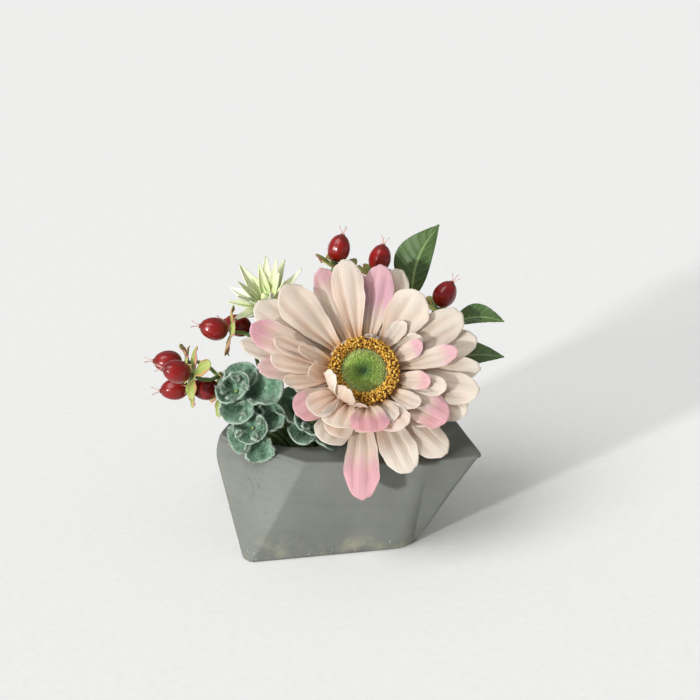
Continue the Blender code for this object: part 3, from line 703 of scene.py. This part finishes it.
def dyedCrumb():
    # foam crumb dyed orange and glued on: bright yellow grains over a brown ground
    material, tree, shader, place = newMaterial("dyedCrumb")
    tone = addNode(tree, "Attribute", gives="Fac", attribute_name="tone")
    colour = addNode(tree, "ValToRGB", links={"Fac": tone},
                     stops=[(0.0, "#7a4e16"), (0.3, "#b57c20"), (0.65, "#d8a232"), (1.0, "#f2cf66")])
    speckle = addNode(tree, "TexNoise", {"Scale": 1500.0, "Detail": 2.0}, {"Vector": place})
    shade = addNode(tree, "ValToRGB", links={"Fac": speckle}, stops=[(0.35, 0.7), (0.6, 1.0)])
    mixed = addNode(tree, "Mix", {0: 0.8}, {6: colour, 7: shade}, **multiply)
    dressSurface(tree, shader, mixed, speckle, 0.4, 0.0003, Roughness=0.75)
    return material


def greenPlush():
    # short plush: pale fibre tips at the rim, deep green where they crowd in the middle
    material, tree, shader, place = newMaterial("greenPlush")
    radius, tone = [addNode(tree, "Attribute", gives="Fac", attribute_name=layer)
                    for layer in ("radius", "tone")]
    colour = addNode(tree, "ValToRGB", links={"Fac": radius},
                     stops=[(0.0, "#2c521a"), (0.2, "#55801f"), (0.5, "#9dbb42"), (0.8, "#b7c968"),
                            (1.0, "#d3d9a6")])
    speckle = addNode(tree, "TexNoise", {"Scale": 1300.0, "Detail": 2.0}, {"Vector": place})
    both = addNode(tree, "Math", links={0: speckle, 1: tone}, operation="ADD")
    shade = addNode(tree, "ValToRGB", links={"Fac": both}, stops=[(0.45, 0.3), (1.05, 1.0)])
    mixed = addNode(tree, "Mix", {0: 0.75}, {6: colour, 7: shade}, **multiply)
    dressSurface(tree, shader, mixed, Roughness=0.9, Sheen_Weight=0.4, Sheen_Roughness=0.5)
    return material


makePetals(pressedSilk())
makeEye(greenPlush(), makeStamens(dyedCrumb()))
print("gerbera")


# Hypericum berries and their sepals

# Each berry: its middle, the way its tip points, and its sepals as angle, length, lift and curl.
berries = {
    "left_back": ((-83.5, 4, 78.6), (-0.95, -0.1, 0.1),
                  [(20, 11, 5, -20), (92, 9, 20, 30), (164, 11, 0, -30), (236, 9, 10, 20),
                   (308, 10, 0, -10)]),
    "left_top": ((-77, -20, 83.8), (-0.85, -0.35, 0.4),
                 [(46, 14.5, 10, -50), (112, 14, 30, -60), (190, 14, -10, 40), (262, 15.5, 0, -80),
                  (326, 14, 20, -40)]),
    "left_low": ((-80.8, 2, 65.8), (-0.93, -0.2, -0.05),
                 [(0, 11, 10, 20), (72, 9, 0, -20), (144, 11, 20, -20), (216, 9, 0, 20),
                  (288, 10, 20, -30)]),
    "left_front": ((-65.5, -11, 71.6), (-0.85, -0.45, 0.25),
                   [(4, 11, 10, -40), (76, 10, 30, 20), (148, 9.5, 0, -30), (220, 11, 20, -30),
                    (290, 13, 20, -50)]),
    "upper_front": ((-61.5, 0, 96.4), (-0.95, -0.1, 0.25),
                    [(34, 12, 24, -60), (98, 13, 30, -50), (170, 11, 10, -40), (250, 14.5, 10, -50),
                     (314, 12, 20, -30)]),
    "upper_back": ((-52, 17, 91.5), (-0.9, 0.1, 0.3),
                   [(70, 8.5, 10, -30), (142, 8, 0, 20), (214, 8.5, 20, -30), (286, 7.5, 0, 10),
                    (358, 8, 20, -20)]),
    "top_left": ((-5, 22, 127.4), (0.25, 0, 0.97),
                 [(158, 14, 26, -20), (222, 12, 15, -10), (294, 11, 20, 10), (6, 11, 20, -20),
                  (78, 10, 26, -30)]),
    "top_right": ((13.8, 24, 121.9), (0.2, 0, 0.97),
                  [(172, 13.5, 30, -50), (242, 10, 10, 20), (314, 11, 20, -40), (26, 10, 20, -30),
                   (98, 10, 26, -30)]),
    "right": ((43.3, 12, 108.7), (0.5, 0, 0.87),
              [(165, 13, 34, -60), (232, 11, 15, -30), (304, 12, 20, -60), (16, 10, 20, -30),
               (88, 11, 26, -30)]),
}
berryShape = {"radius": 5.2, "length": 13.0, "seat": 1.2, "ribs": 6, "whiskers": 3, "whiskerLength": 4.6,
              "footEnd": -6.55, "tipEnd": 6.3}


def tube(path, radii, around, layers):
    # a closed tube: circles of the given radii square to the path, and a point at each end
    path = np.asarray(path, float)
    heading = np.gradient(path, axis=0)
    frames = framesAlong(heading)
    turn = np.linspace(0, math.tau, around, endpoint=False)
    circle = np.einsum("kc,ncd->nkd", aboutAxis(1.0, turn, 0.0), frames)
    grid = circle * np.asarray(radii)[:, None, None] + path[:, None, :]
    ends = unit(heading[0]) * radii[0] * 0.4, unit(heading[-1]) * radii[-1] * 0.6
    return closedGrid(grid, path[0] - ends[0], path[-1] + ends[1], layers)


def makeBerry(label, number, material):
    # An egg: radius follows half an ellipse, a little fuller near the foot. Six shallow ribs run
    # from end to end, and the tip draws in to a crown with whiskers.
    middle, tip = berries[label][:2]
    frameRows = framesAlong(tip)
    rng = np.random.default_rng(60 + number)
    centre = np.asarray(middle, float)
    t = np.linspace(0.02, 0.985, 34)[:, None]
    turn = np.linspace(0, math.tau, 40, endpoint=False)[None, :]
    radius = berryShape["radius"] * np.sin(math.pi * t) ** 0.94 * (1 + 0.1 * np.cos(math.pi * t))
    ribs = np.abs(np.cos(turn * berryShape["ribs"] / 2 + number)) ** 0.7
    radius = radius * (0.94 + 0.065 * ribs * np.sin(math.pi * t) ** 0.5)
    crown = np.exp(-((t - 0.965) / 0.02) ** 2)
    radius = radius + 0.55 * crown * (0.6 + 0.4 * np.cos(5 * turn))
    height = 0.5 * crown - berryShape["length"] / 2 * np.cos(math.pi * t)
    grid = aboutAxis(radius, turn, height)
    placed = grid * (1 + 0.012 * wander(grid, 9.0, number)[..., None]) @ frameRows + centre
    ends = [np.array([0, 0, z]) @ frameRows + centre for z in (berryShape["footEnd"], berryShape["tipEnd"])]
    parts = [closedGrid(placed, *ends, {"along": t, "whisker": 0.0})]
    k = np.linspace(0, 1, 7)
    for each in range(berryShape["whiskers"]):
        way = math.tau * each / berryShape["whiskers"] + number
        lean = 0.25 + 0.35 * rng.uniform(0, 1)
        out = 0.3 + berryShape["whiskerLength"] * lean * k ** 1.4
        up = berryShape["tipEnd"] + berryShape["whiskerLength"] * (k - 0.25 * lean * k ** 2)
        path = aboutAxis(out, way, up) @ frameRows + centre
        parts.append(tube(path, 0.24 - 0.1 * k, 6, {"along": 1.0, "whisker": 0.3 + 0.7 * k[:, None]}))
    addPiece("berry_" + label, parts, material, ["berry_" + label])


sepalStyle = {**plainBlade, "rows": 20, "cols": 11, "base": 0.42, "peak": 0.5, "tip": 0.3, "taper": 0.25,
              "cup": -0.35, "cupFade": 0.2, "channel": 0.2, "pleat": 0.25, "pleatAt": 0.0, "ribs": 0.08,
              "wave": 1.0, "waves": 1.2, "bend": 1.4, "hub": 2.8}
sepalWidth = 7.6


def makeSepals(label, number, material):
    middle, tip, sepals = berries[label]
    frameRows = framesAlong(tip)
    centre = np.asarray(middle) - frameRows[2] * (berryShape["length"] / 2 + berryShape["seat"])
    plans = [(300 + 10 * number + each, angle, length, sepalWidth, lift, curl,
              12 * math.sin(5.0 * each + number),
              14 * math.sin(3.0 * each + 2 * number))
             for each, (angle, length, lift, curl) in enumerate(sorted(sepals))]
    parts = bladeRing(sepalStyle, plans, 1.1, centre, frameRows)[0]
    addPiece("sepals_" + label, parts, material, ["sepals_" + label], thickness=0.35)


def redLacquer():
    # moulded foam berry dipped in red lacquer: deep red, darker towards the foot, wet-looking,
    # with pale pink whiskers
    material, tree, shader, place = newMaterial("redLacquer")
    along, whisker = [addNode(tree, "Attribute", gives="Fac", attribute_name=layer)
                      for layer in ("along", "whisker")]
    cloud = addNode(tree, "TexNoise", {"Scale": 220.0, "Detail": 3.0}, {"Vector": place})
    shift = addNode(tree, "Math", {1: 0.35}, {0: cloud}, operation="MULTIPLY")
    reach = addNode(tree, "Math", links={0: along, 1: shift}, operation="ADD")
    skin = addNode(tree, "ValToRGB", links={"Fac": reach},
                   stops=[(0.1, "#420807"), (0.4, "#6b0b09"), (0.9, "#84100d"), (1.1, "#6c1a14")])
    tip = addNode(tree, "ValToRGB", links={"Fac": whisker},
                  stops=[(0.0, "#8e1513"), (0.3, "#c98f84"), (0.75, "#e3bcae"), (1.0, "#8c4a3a")])
    pick = addNode(tree, "Math", {1: 0.1}, {0: whisker}, operation="GREATER_THAN")
    colour = addNode(tree, "Mix", links={0: pick, 6: skin, 7: tip}, **blend)
    ripple = addNode(tree, "TexNoise", {"Scale": 700.0, "Detail": 2.0}, {"Vector": place})
    dressSurface(tree, shader, colour, ripple, 0.25, 0.0003, Roughness=0.26, Specular_IOR_Level=0.35,
                 Coat_Weight=0.2, Coat_Roughness=0.06)
    return material


def printedSepal():
    # printed fabric: yellow-green with a pale vein, running to tan and pink at its edges
    material, tree, shader, place = newMaterial("printedSepal")
    along, across, number = [addNode(tree, "Attribute", gives="Fac", attribute_name=layer)
                             for layer in ("along", "across", "number")]
    edge = addNode(tree, "Math", links={0: across}, operation="ABSOLUTE")
    cloud = addNode(tree, "TexNoise", {"Scale": 260.0, "Detail": 3.0}, {"Vector": place})
    shift = addNode(tree, "Math", {1: 0.5}, {0: cloud}, operation="MULTIPLY")
    reach = addNode(tree, "Math", links={0: edge, 1: shift}, operation="ADD")
    body = addNode(tree, "ValToRGB", links={"Fac": along},
                   stops=[(0.0, "#61702a"), (0.45, "#8b9a45"), (1.0, "#a3ac66")])
    rim = addNode(tree, "ValToRGB", links={"Fac": reach}, stops=[(0.92, 0.0), (1.3, 0.95)])
    rimTone = addNode(tree, "ValToRGB", links={"Fac": number}, stops=[(0.3, "#b08a58"), (0.75, "#b97f74")])
    mixed = addNode(tree, "Mix", links={0: rim, 6: body, 7: rimTone}, **blend)
    vein = addNode(tree, "ValToRGB", links={"Fac": edge}, stops=[(0.02, 0.7), (0.12, 0.0)])
    pale = addNode(tree, "Mix", {7: linear("#a9b268")}, {0: vein, 6: mixed}, **blend)
    weave = addNode(tree, "TexNoise", {"Scale": 1500.0, "Detail": 2.0}, {"Vector": place})
    dressSurface(tree, shader, pale, weave, 0.4, 0.0003, Roughness=0.7, Subsurface_Weight=0.2,
                 Subsurface_Scale=0.001)
    return material


lacquer, sepalCloth = redLacquer(), printedSepal()
for number, label in enumerate(berries):
    makeBerry(label, number, lacquer)
    makeSepals(label, number, sepalCloth)
print("berries and sepals")


# Lamb's ear

lambsEar = {
    "blade": {**plainBlade, "rows": 22, "cols": 17, "base": 0.3, "peak": 0.5, "tip": 0.2, "cup": 0.9,
              "cupFade": 0.6, "channel": 0.4, "pleat": 0.7, "pleatAt": 0.0, "ribs": 0.06, "wave": 1.1,
              "waves": 1.3, "hub": 3.2, "uneven": 1.0},
    "thickness": 0.7, "bore": 1.1, "hairs": 360, "rimHairs": 620,
    "hairWidth": (0.08, 0.15), "hairLength": (0.6, 2.1),
}
# Each whorl: centre, axis and leaves as angle, length, width, lift, curl and roll.
whorls = {
    "upper_1": ((-48, -18, 71.5), (-0.25, -0.6, 0.75),
                [(12, 21, 17, 12, 10, 0), (98, 15.5, 14, 34, 20, 10), (190, 13, 13, 30, 40, 0),
                 (284, 16, 14, 10, 10, 0)]),
    "upper_2": ((-50.5, -22, 75), (-0.25, -0.65, 0.7),
                [(55, 10.5, 10, 34, 40, 0), (145, 9, 9.2, 42, 50, 0), (235, 10.5, 10, 30, 40, 0),
                 (325, 9, 9.2, 42, 50, 0)]),
    "low_left_1": ((-41, -25, 57), (-0.35, -0.75, 0.55),
                   [(48, 16, 13, 14, 0, 0), (120, 16, 13, 30, 20, 0), (225, 14, 13, 14, 10, 0),
                    (300, 14.5, 12, 10, -20, 0)]),
    "low_left_2": ((-43, -29.5, 60.5), (-0.35, -0.75, 0.55),
                   [(0, 9, 9.5, 24, 20, 0), (90, 8, 9, 32, 40, 0), (180, 9, 9.5, 24, 20, 0),
                    (270, 8, 9, 30, -10, 0)]),
    "low_middle_1": ((-17, -21, 57), (0.1, -0.55, 0.83),
                     [(50, 16, 14, 20, 10, 0), (138, 22, 17, 26, 10, 0), (225, 13, 12, 20, 0, 0),
                      (318, 15, 15, 8, -10, 0)]),
    "low_middle_2": ((-17, -24, 60.5), (0.1, -0.6, 0.8),
                     [(0, 10, 10, 34, 30, 0), (90, 9, 9.2, 42, 40, 0), (180, 10, 10, 34, 30, 0),
                      (270, 9, 9.2, 40, 0, 0)]),
}


def hairsOn(points, normals, count, rimCount, rng):
    # Fibres stand on a leaf at places drawn at random on its grid, along its normal with a lean.
    # At its rim they stand outwards, away from the leaf's middle line.
    rows, cols = points.shape[:2]
    at = np.stack([rng.uniform(0.12, 0.98, count) * (rows - 1),
                   rng.uniform(0.03, 0.97, count) * (cols - 1)])
    r, c = at.astype(int)
    fr, fc = (at - at.astype(int))[:, :, None]
    spots = ((points[r, c] * (1 - fr) + points[r + 1, c] * fr) * (1 - fc)
             + (points[r, c + 1] * (1 - fr) + points[r + 1, c + 1] * fr) * fc)
    way = normals[r, c] + rng.normal(0, 0.45, (count, 3))
    middle = points[:, cols // 2]
    edge = rng.uniform(0.15, 1, rimCount) ** 0.7 * (rows - 1)
    side = np.where(rng.uniform(0, 1, rimCount) < 0.5, 0, cols - 1)
    across = np.where(edge > rows - 1.6, rng.integers(0, cols, rimCount), side)
    low = np.minimum(edge.astype(int), rows - 2)
    part = (edge - low)[:, None]
    rimSpots = points[low, across] * (1 - part) + points[low + 1, across] * part
    heart = middle[np.maximum(low - 3, 0)]
    rimWay = unit(rimSpots - heart) + rng.normal(0, 0.3, (rimCount, 3)) + 0.3 * normals[low, across]
    return np.concatenate([spots, rimSpots]), np.concatenate([way, rimWay])


def makeWhorl(label, number, leafMaterial, hairMaterial):
    centre, axis, leaves = whorls[label]
    frameRows = framesAlong(axis)
    centre = np.asarray(centre, float)
    style = lambsEar["blade"]
    rng = np.random.default_rng(400 + number)
    plans = [(500 + 10 * number + each, angle, length, width, lift, curl, 0, roll)
             for each, (angle, length, width, lift, curl, roll) in enumerate(leaves)]
    parts, made = bladeRing(style, plans, lambsEar["bore"], centre, frameRows)
    hairs = []
    for points, layers, normals in made:
        spots, ways = hairsOn(points, normals, lambsEar["hairs"], lambsEar["rimHairs"], rng)
        count = len(spots)
        sizes = np.stack([rng.uniform(*lambsEar["hairWidth"], count)] * 2
                         + [rng.uniform(*lambsEar["hairLength"], count)], axis=1)
        frames = framesAlong(ways, rng.uniform(0, 360, count))
        paleness = np.where(np.arange(count) < lambsEar["hairs"], 0.4, 1.0) * rng.uniform(0.3, 1, count)
        copies = scatter(*spike, spots, frames, sizes, {"tone": paleness})
        hairs.append((copies[0] @ frameRows + centre, *copies[1:]))
    addPiece("lambsEar_" + label, parts, leafMaterial, ["lambs_ear_" + label],
             thickness=lambsEar["thickness"])
    addPiece("lambsEarFlock_" + label, hairs, hairMaterial)


def flockedLeaf():
    # flocked plastic leaf: grey sage green, mottled, whiter at the rim where the flock piles up
    material, tree, shader, place = newMaterial("flockedLeaf")
    along, across = [addNode(tree, "Attribute", gives="Fac", attribute_name=layer)
                     for layer in ("along", "across")]
    cloud = addNode(tree, "TexNoise", {"Scale": 240.0, "Detail": 5.0, "Roughness": 0.65}, {"Vector": place})
    colour = addNode(tree, "ValToRGB", links={"Fac": cloud},
                     stops=[(0.3, "#345640"), (0.5, "#60866b"), (0.72, "#9ab5a0")])
    wide = addNode(tree, "Math", links={0: across}, operation="ABSOLUTE")
    far = addNode(tree, "Math", links={0: wide, 1: along}, operation="MAXIMUM")
    rim = addNode(tree, "ValToRGB", links={"Fac": far}, stops=[(0.86, 0.0), (1.0, 0.6)])
    mixed = addNode(tree, "Mix", {7: linear("#b9c7b6")}, {0: rim, 6: colour}, **blend)
    fuzz = addNode(tree, "TexNoise", {"Scale": 1500.0, "Detail": 3.0}, {"Vector": place})
    dressSurface(tree, shader, mixed, fuzz, 0.8, 0.0005, Roughness=0.95, Sheen_Weight=0.35,
                 Sheen_Roughness=0.5)
    return material


def flockFibre():
    # loose flock fibres: grey-green to nearly white, soft all through
    material, tree, shader = newMaterial("flockFibre")[:3]
    tone = addNode(tree, "Attribute", gives="Fac", attribute_name="tone")
    colour = addNode(tree, "ValToRGB", links={"Fac": tone},
                     stops=[(0.0, "#5f8068"), (0.45, "#8fa994"), (1.0, "#dbe2d6")])
    dressSurface(tree, shader, colour, Roughness=0.95)
    return material


flocked, fibre = flockedLeaf(), flockFibre()
for number, label in enumerate(whorls):
    makeWhorl(label, number, flocked, fibre)
print("lamb's ear")


# Green leaves

# Each leaf: base, tip, width, the way across it, sag and sideways bow of its middle line, and the
# shares of half its width that lie on the side it points across to and on the other.
greenLeaves = {
    "tall": ((28.5, 20, 104), (41, 30, 136), 20.5, (0.92, -0.1, -0.37), -2.0, -3.6, 0.62, 1.05),
    "right": ((46, 2, 98), (69.8, 2, 99), 12.5, (0, 0.4, 0.92), 3.0, 2.4, 1.0, 0.42),
    "low_right": ((40, 0, 78), (70, -2, 83.4), 15, (-0.2, 0.35, 0.93), 2.0, 3.0, 0.95, 0.6),
}


def makeLeaf(label, number, material):
    # The middle line runs from base to tip with a bow, half a sine high. Half width is a sine of
    # distance to the power 0.8; each side folds up as a V and ripples, and side veins sink in.
    base, tip, width, side, sag, bow, wide, narrow = greenLeaves[label]
    base, tip = np.array(base, float), np.array(tip, float)
    side = unit(np.array(side, float))
    lift = unit(np.cross(tip - base, side))
    s = np.linspace(0, 1, 44)[:, None]
    v = np.linspace(-1, 1, 25)[None, :] + 0 * s
    half = 0.5 * width * np.maximum(np.sin(math.pi * s ** 0.82) ** 0.9, 0.05)
    half = half * np.where(v > 0, wide, narrow)
    slant = (s * 9 - np.abs(v) * 1.6) % 1.0
    inside = smoothStep(0.02, 0.15, s) * (1 - smoothStep(0.85, 1.0, s))
    rise = 0.2 * np.abs(v) ** 0.9 * half - 0.28 * np.exp(-((slant - 0.5) / 0.14) ** 2) * inside
    rise = rise + 0.45 * np.sin(math.tau * 2.4 * s + 2 * v + number) * np.abs(v) ** 2.5 * inside
    rise = rise + 0.3 * np.exp(-(v / 0.08) ** 2)
    middle = base + (tip - base) * s + (lift * sag + side * bow) * np.sin(math.pi * s)
    points = middle[:, None, :] + side * (v * half)[..., None] + lift * rise[..., None]
    points = points[:, ::-1]
    parts = [(points, gridQuads(*v.shape)[:, ::-1], [],
              {"along": s + 0 * v, "across": v[:, ::-1], "slant": slant[:, ::-1]})]
    addPiece("greenLeaf_" + label, parts, material, ["leaf_" + label], thickness=0.5,
             offset=0.0)


def printedLeaf():
    # printed satin leaf: deep green, paler along its midrib and side veins, waxy satin shine
    material, tree, shader, place = newMaterial("printedLeaf")
    along, across, slant = [addNode(tree, "Attribute", gives="Fac", attribute_name=layer)
                            for layer in ("along", "across", "slant")]
    cloud = addNode(tree, "TexNoise", {"Scale": 180.0, "Detail": 4.0}, {"Vector": place})
    shift = addNode(tree, "Math", {1: 0.7}, {0: cloud}, operation="MULTIPLY")
    reach = addNode(tree, "Math", links={0: along, 1: shift}, operation="ADD")
    body = addNode(tree, "ValToRGB", links={"Fac": reach},
                   stops=[(0.25, "#3d5524"), (0.7, "#2f4a1e"), (1.3, "#466030")])
    wide = addNode(tree, "Math", links={0: across}, operation="ABSOLUTE")
    rib = addNode(tree, "ValToRGB", links={"Fac": wide}, stops=[(0.03, 0.85), (0.1, 0.0)])
    gap = addNode(tree, "Math", {1: 0.5}, {0: slant}, operation="SUBTRACT")
    near = addNode(tree, "Math", links={0: gap}, operation="ABSOLUTE")
    veins = addNode(tree, "ValToRGB", links={"Fac": near}, stops=[(0.04, 0.22), (0.16, 0.0)])
    lines = addNode(tree, "Math", links={0: rib, 1: veins}, operation="MAXIMUM")
    mixed = addNode(tree, "Mix", {7: linear("#7f9460")}, {0: lines, 6: body}, **blend)
    weave = addNode(tree, "TexNoise", {"Scale": 1100.0, "Detail": 2.0}, {"Vector": place})
    dressSurface(tree, shader, mixed, weave, 0.3, 0.0003, Roughness=0.42, Subsurface_Weight=0.15,
                 Subsurface_Scale=0.001)
    return material


leafCloth = printedLeaf()
for number, label in enumerate(greenLeaves):
    makeLeaf(label, number, leafCloth)
print("green leaves")


# Spiky cream flower

spikyFlower = {
    "centre": (-37.5, 18, 100), "axis": (-0.25, -0.35, 0.9), "bore": 1.1, "thickness": 0.4,
    "coreRadius": 1.9, "coreLow": 3.2, "coreRise": 5.8,
    "blade": {**plainBlade, "rows": 16, "cols": 9, "base": 0.75, "peak": 0.35, "tip": 0.0, "taper": 0.92,
              "cup": 0.9, "cupFade": 0.3, "channel": 0.2, "pleat": 0.0, "ribs": 0.05, "wave": 0.3,
              "waves": 1.2,
              "hub": 4.0},
}
# Rings of spikes: seat, then spikes as angle, length, width, lift and curl.
spikeRings = {
    "outer": (0.0, [(0, 20, 4.6, 20, -10), (30, 22, 5, 34, 5), (60, 24, 5, 34, -6), (90, 24, 5.4, 40, 0),
                    (120, 26, 6, 36, -10), (150, 23, 5.4, 34, 5), (180, 22, 6.5, 24, -10),
                    (210, 20, 5, 28, 0),
                    (240, 19, 4.6, 18, -10), (270, 17, 5, 30, 10), (300, 18, 5, 16, -10),
                    (330, 19, 5, 30, 0)]),
    "inner": (1.6, [(15, 22, 5, 58, 5), (51, 20, 4.5, 66, 5), (87, 23, 5, 56, 0), (123, 21, 4.5, 66, 0),
                    (159, 24, 6.5, 52, 5), (195, 20, 4.5, 64, 5), (231, 18, 4.5, 56, 0),
                    (267, 15, 4.5, 66, 0), (303, 17, 4.5, 56, 5), (339, 19, 4.5, 66, 0)]),
}


def makeSpiky(material):
    frameRows = framesAlong(spikyFlower["axis"])
    style = spikyFlower["blade"]
    for ring, (seat, spikes) in spikeRings.items():
        centre = np.array(spikyFlower["centre"]) + frameRows[2] * seat
        plans = [(700 + 21 * each, *spikeNumbers, 6 * math.sin(4.0 * each), 10 * math.sin(7.0 * each))
                 for each, spikeNumbers in enumerate(spikes)]
        parts = bladeRing(style, plans, spikyFlower["bore"], centre, frameRows)[0]
        addPiece("spikyPetals_" + ring, parts, material, ["spiky_petals_" + ring],
                 thickness=spikyFlower["thickness"])
    # the core: a slim bud whose radius is a sine of its length, with five twisted ribs
    low, rise = spikyFlower["coreLow"], spikyFlower["coreRise"]
    t = np.linspace(0.03, 0.97, 20)[:, None]
    turn = np.linspace(0, math.tau, 30, endpoint=False)[None, :]
    radius = spikyFlower["coreRadius"] * np.sin(math.pi * t) ** 0.6 * (0.9 + 0.1 * np.cos(5 * turn + 9 * t))
    centre = np.array(spikyFlower["centre"])
    placed = aboutAxis(radius, turn, low + rise * t) @ frameRows + centre
    ends = [np.array([0, 0, z]) @ frameRows + centre for z in (low, low + rise + 0.05)]
    core = closedGrid(placed, *ends, {"along": 0.3 * t, "across": np.cos(5 * turn), "number": 0.5,
                                      "groove": 0.0})
    addPiece("spikyCore", [core], material, ["spiky_core"])


def creamSatin():
    # stiffened cream satin: yellow-green at the root, nearly white at the point, with painted shade along
    # the fine crease down its middle
    material, tree, shader, place = newMaterial("creamSatin")
    along, across, number = [addNode(tree, "Attribute", gives="Fac", attribute_name=layer)
                             for layer in ("along", "across", "number")]
    cloud = addNode(tree, "TexNoise", {"Scale": 260.0, "Detail": 4.0}, {"Vector": place})
    shift = addNode(tree, "Math", {1: 0.4}, {0: cloud}, operation="MULTIPLY")
    reach = addNode(tree, "Math", links={0: along, 1: shift}, operation="ADD")
    body = addNode(tree, "ValToRGB", links={"Fac": reach},
                   stops=[(0.1, "#a9b868"), (0.3, "#c4cf97"), (0.6, "#d6ddbc"), (1.1, "#dfe4d0")])
    tint = addNode(tree, "ValToRGB", links={"Fac": number}, stops=[(0.1, "#eef1d8"), (0.6, "#ffffff")])
    own = addNode(tree, "Mix", {0: 1.0}, {6: body, 7: tint}, **multiply)
    wide = addNode(tree, "Math", links={0: across}, operation="ABSOLUTE")
    # painted shade: darker along the middle line, where the spike folds into a trough
    foldShade = addNode(tree, "ValToRGB", links={"Fac": wide}, stops=[(0.03, 0.75), (0.2, 1.0)])
    foldShaded = addNode(tree, "Mix", {0: 0.7}, {6: own, 7: foldShade}, **multiply)
    weave = addNode(tree, "TexNoise", {"Scale": 1200.0, "Detail": 2.0}, {"Vector": place})
    dressSurface(tree, shader, foldShaded, weave, 0.35, 0.0003, Roughness=0.65, Subsurface_Weight=0.25,
                 Subsurface_Scale=0.001)
    return material


makeSpiky(creamSatin())
print("spiky flower")


# Stems, calyx and foam keep the frame's own solids

def mouldedGreen():
    # moulded green plastic over wire: a mottled satin skin with a fine ripple
    material, tree, shader, place = newMaterial("mouldedGreen")
    cloud = addNode(tree, "TexNoise", {"Scale": 240.0, "Detail": 4.0}, {"Vector": place})
    colour = addNode(tree, "ValToRGB", links={"Fac": cloud},
                     stops=[(0.3, "#41592b"), (0.5, "#5c7638"), (0.7, "#76894a")])
    ripple = addNode(tree, "TexNoise", {"Scale": 900.0, "Detail": 3.0}, {"Vector": place})
    dressSurface(tree, shader, colour, ripple, 0.4, 0.0004, Roughness=0.5)
    return material


def dryFoam():
    # dry flower foam: dark moss green, open fine cells that crumble to a paler dust
    material, tree, shader, place = newMaterial("dryFoam")
    cells = addNode(tree, "TexVoronoi", {"Scale": 900.0}, {"Vector": place})
    cloud = addNode(tree, "TexNoise", {"Scale": 150.0, "Detail": 5.0}, {"Vector": place})
    colour = addNode(tree, "ValToRGB", links={"Fac": cloud},
                     stops=[(0.3, "#2c3a22"), (0.55, "#3f4f2e"), (0.75, "#5a6a42")])
    shade = addNode(tree, "ValToRGB", links={"Fac": cells}, stops=[(0.1, 0.5), (0.5, 1.0)])
    mixed = addNode(tree, "Mix", {0: 1.0}, {6: colour, 7: shade}, **multiply)
    dressSurface(tree, shader, mixed, cells, 0.9, 0.0008, Roughness=0.95)
    return material


plastic, foamStuff = mouldedGreen(), dryFoam()
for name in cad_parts:
    if name == "foam_plug" or "stem" in name or name == "gerbera_calyx":
        solid = bpy.data.objects.get(name)
        solid.data.materials.clear()
        solid.data.materials.append(foamStuff if name == "foam_plug" else plastic)
print("stems and foam")
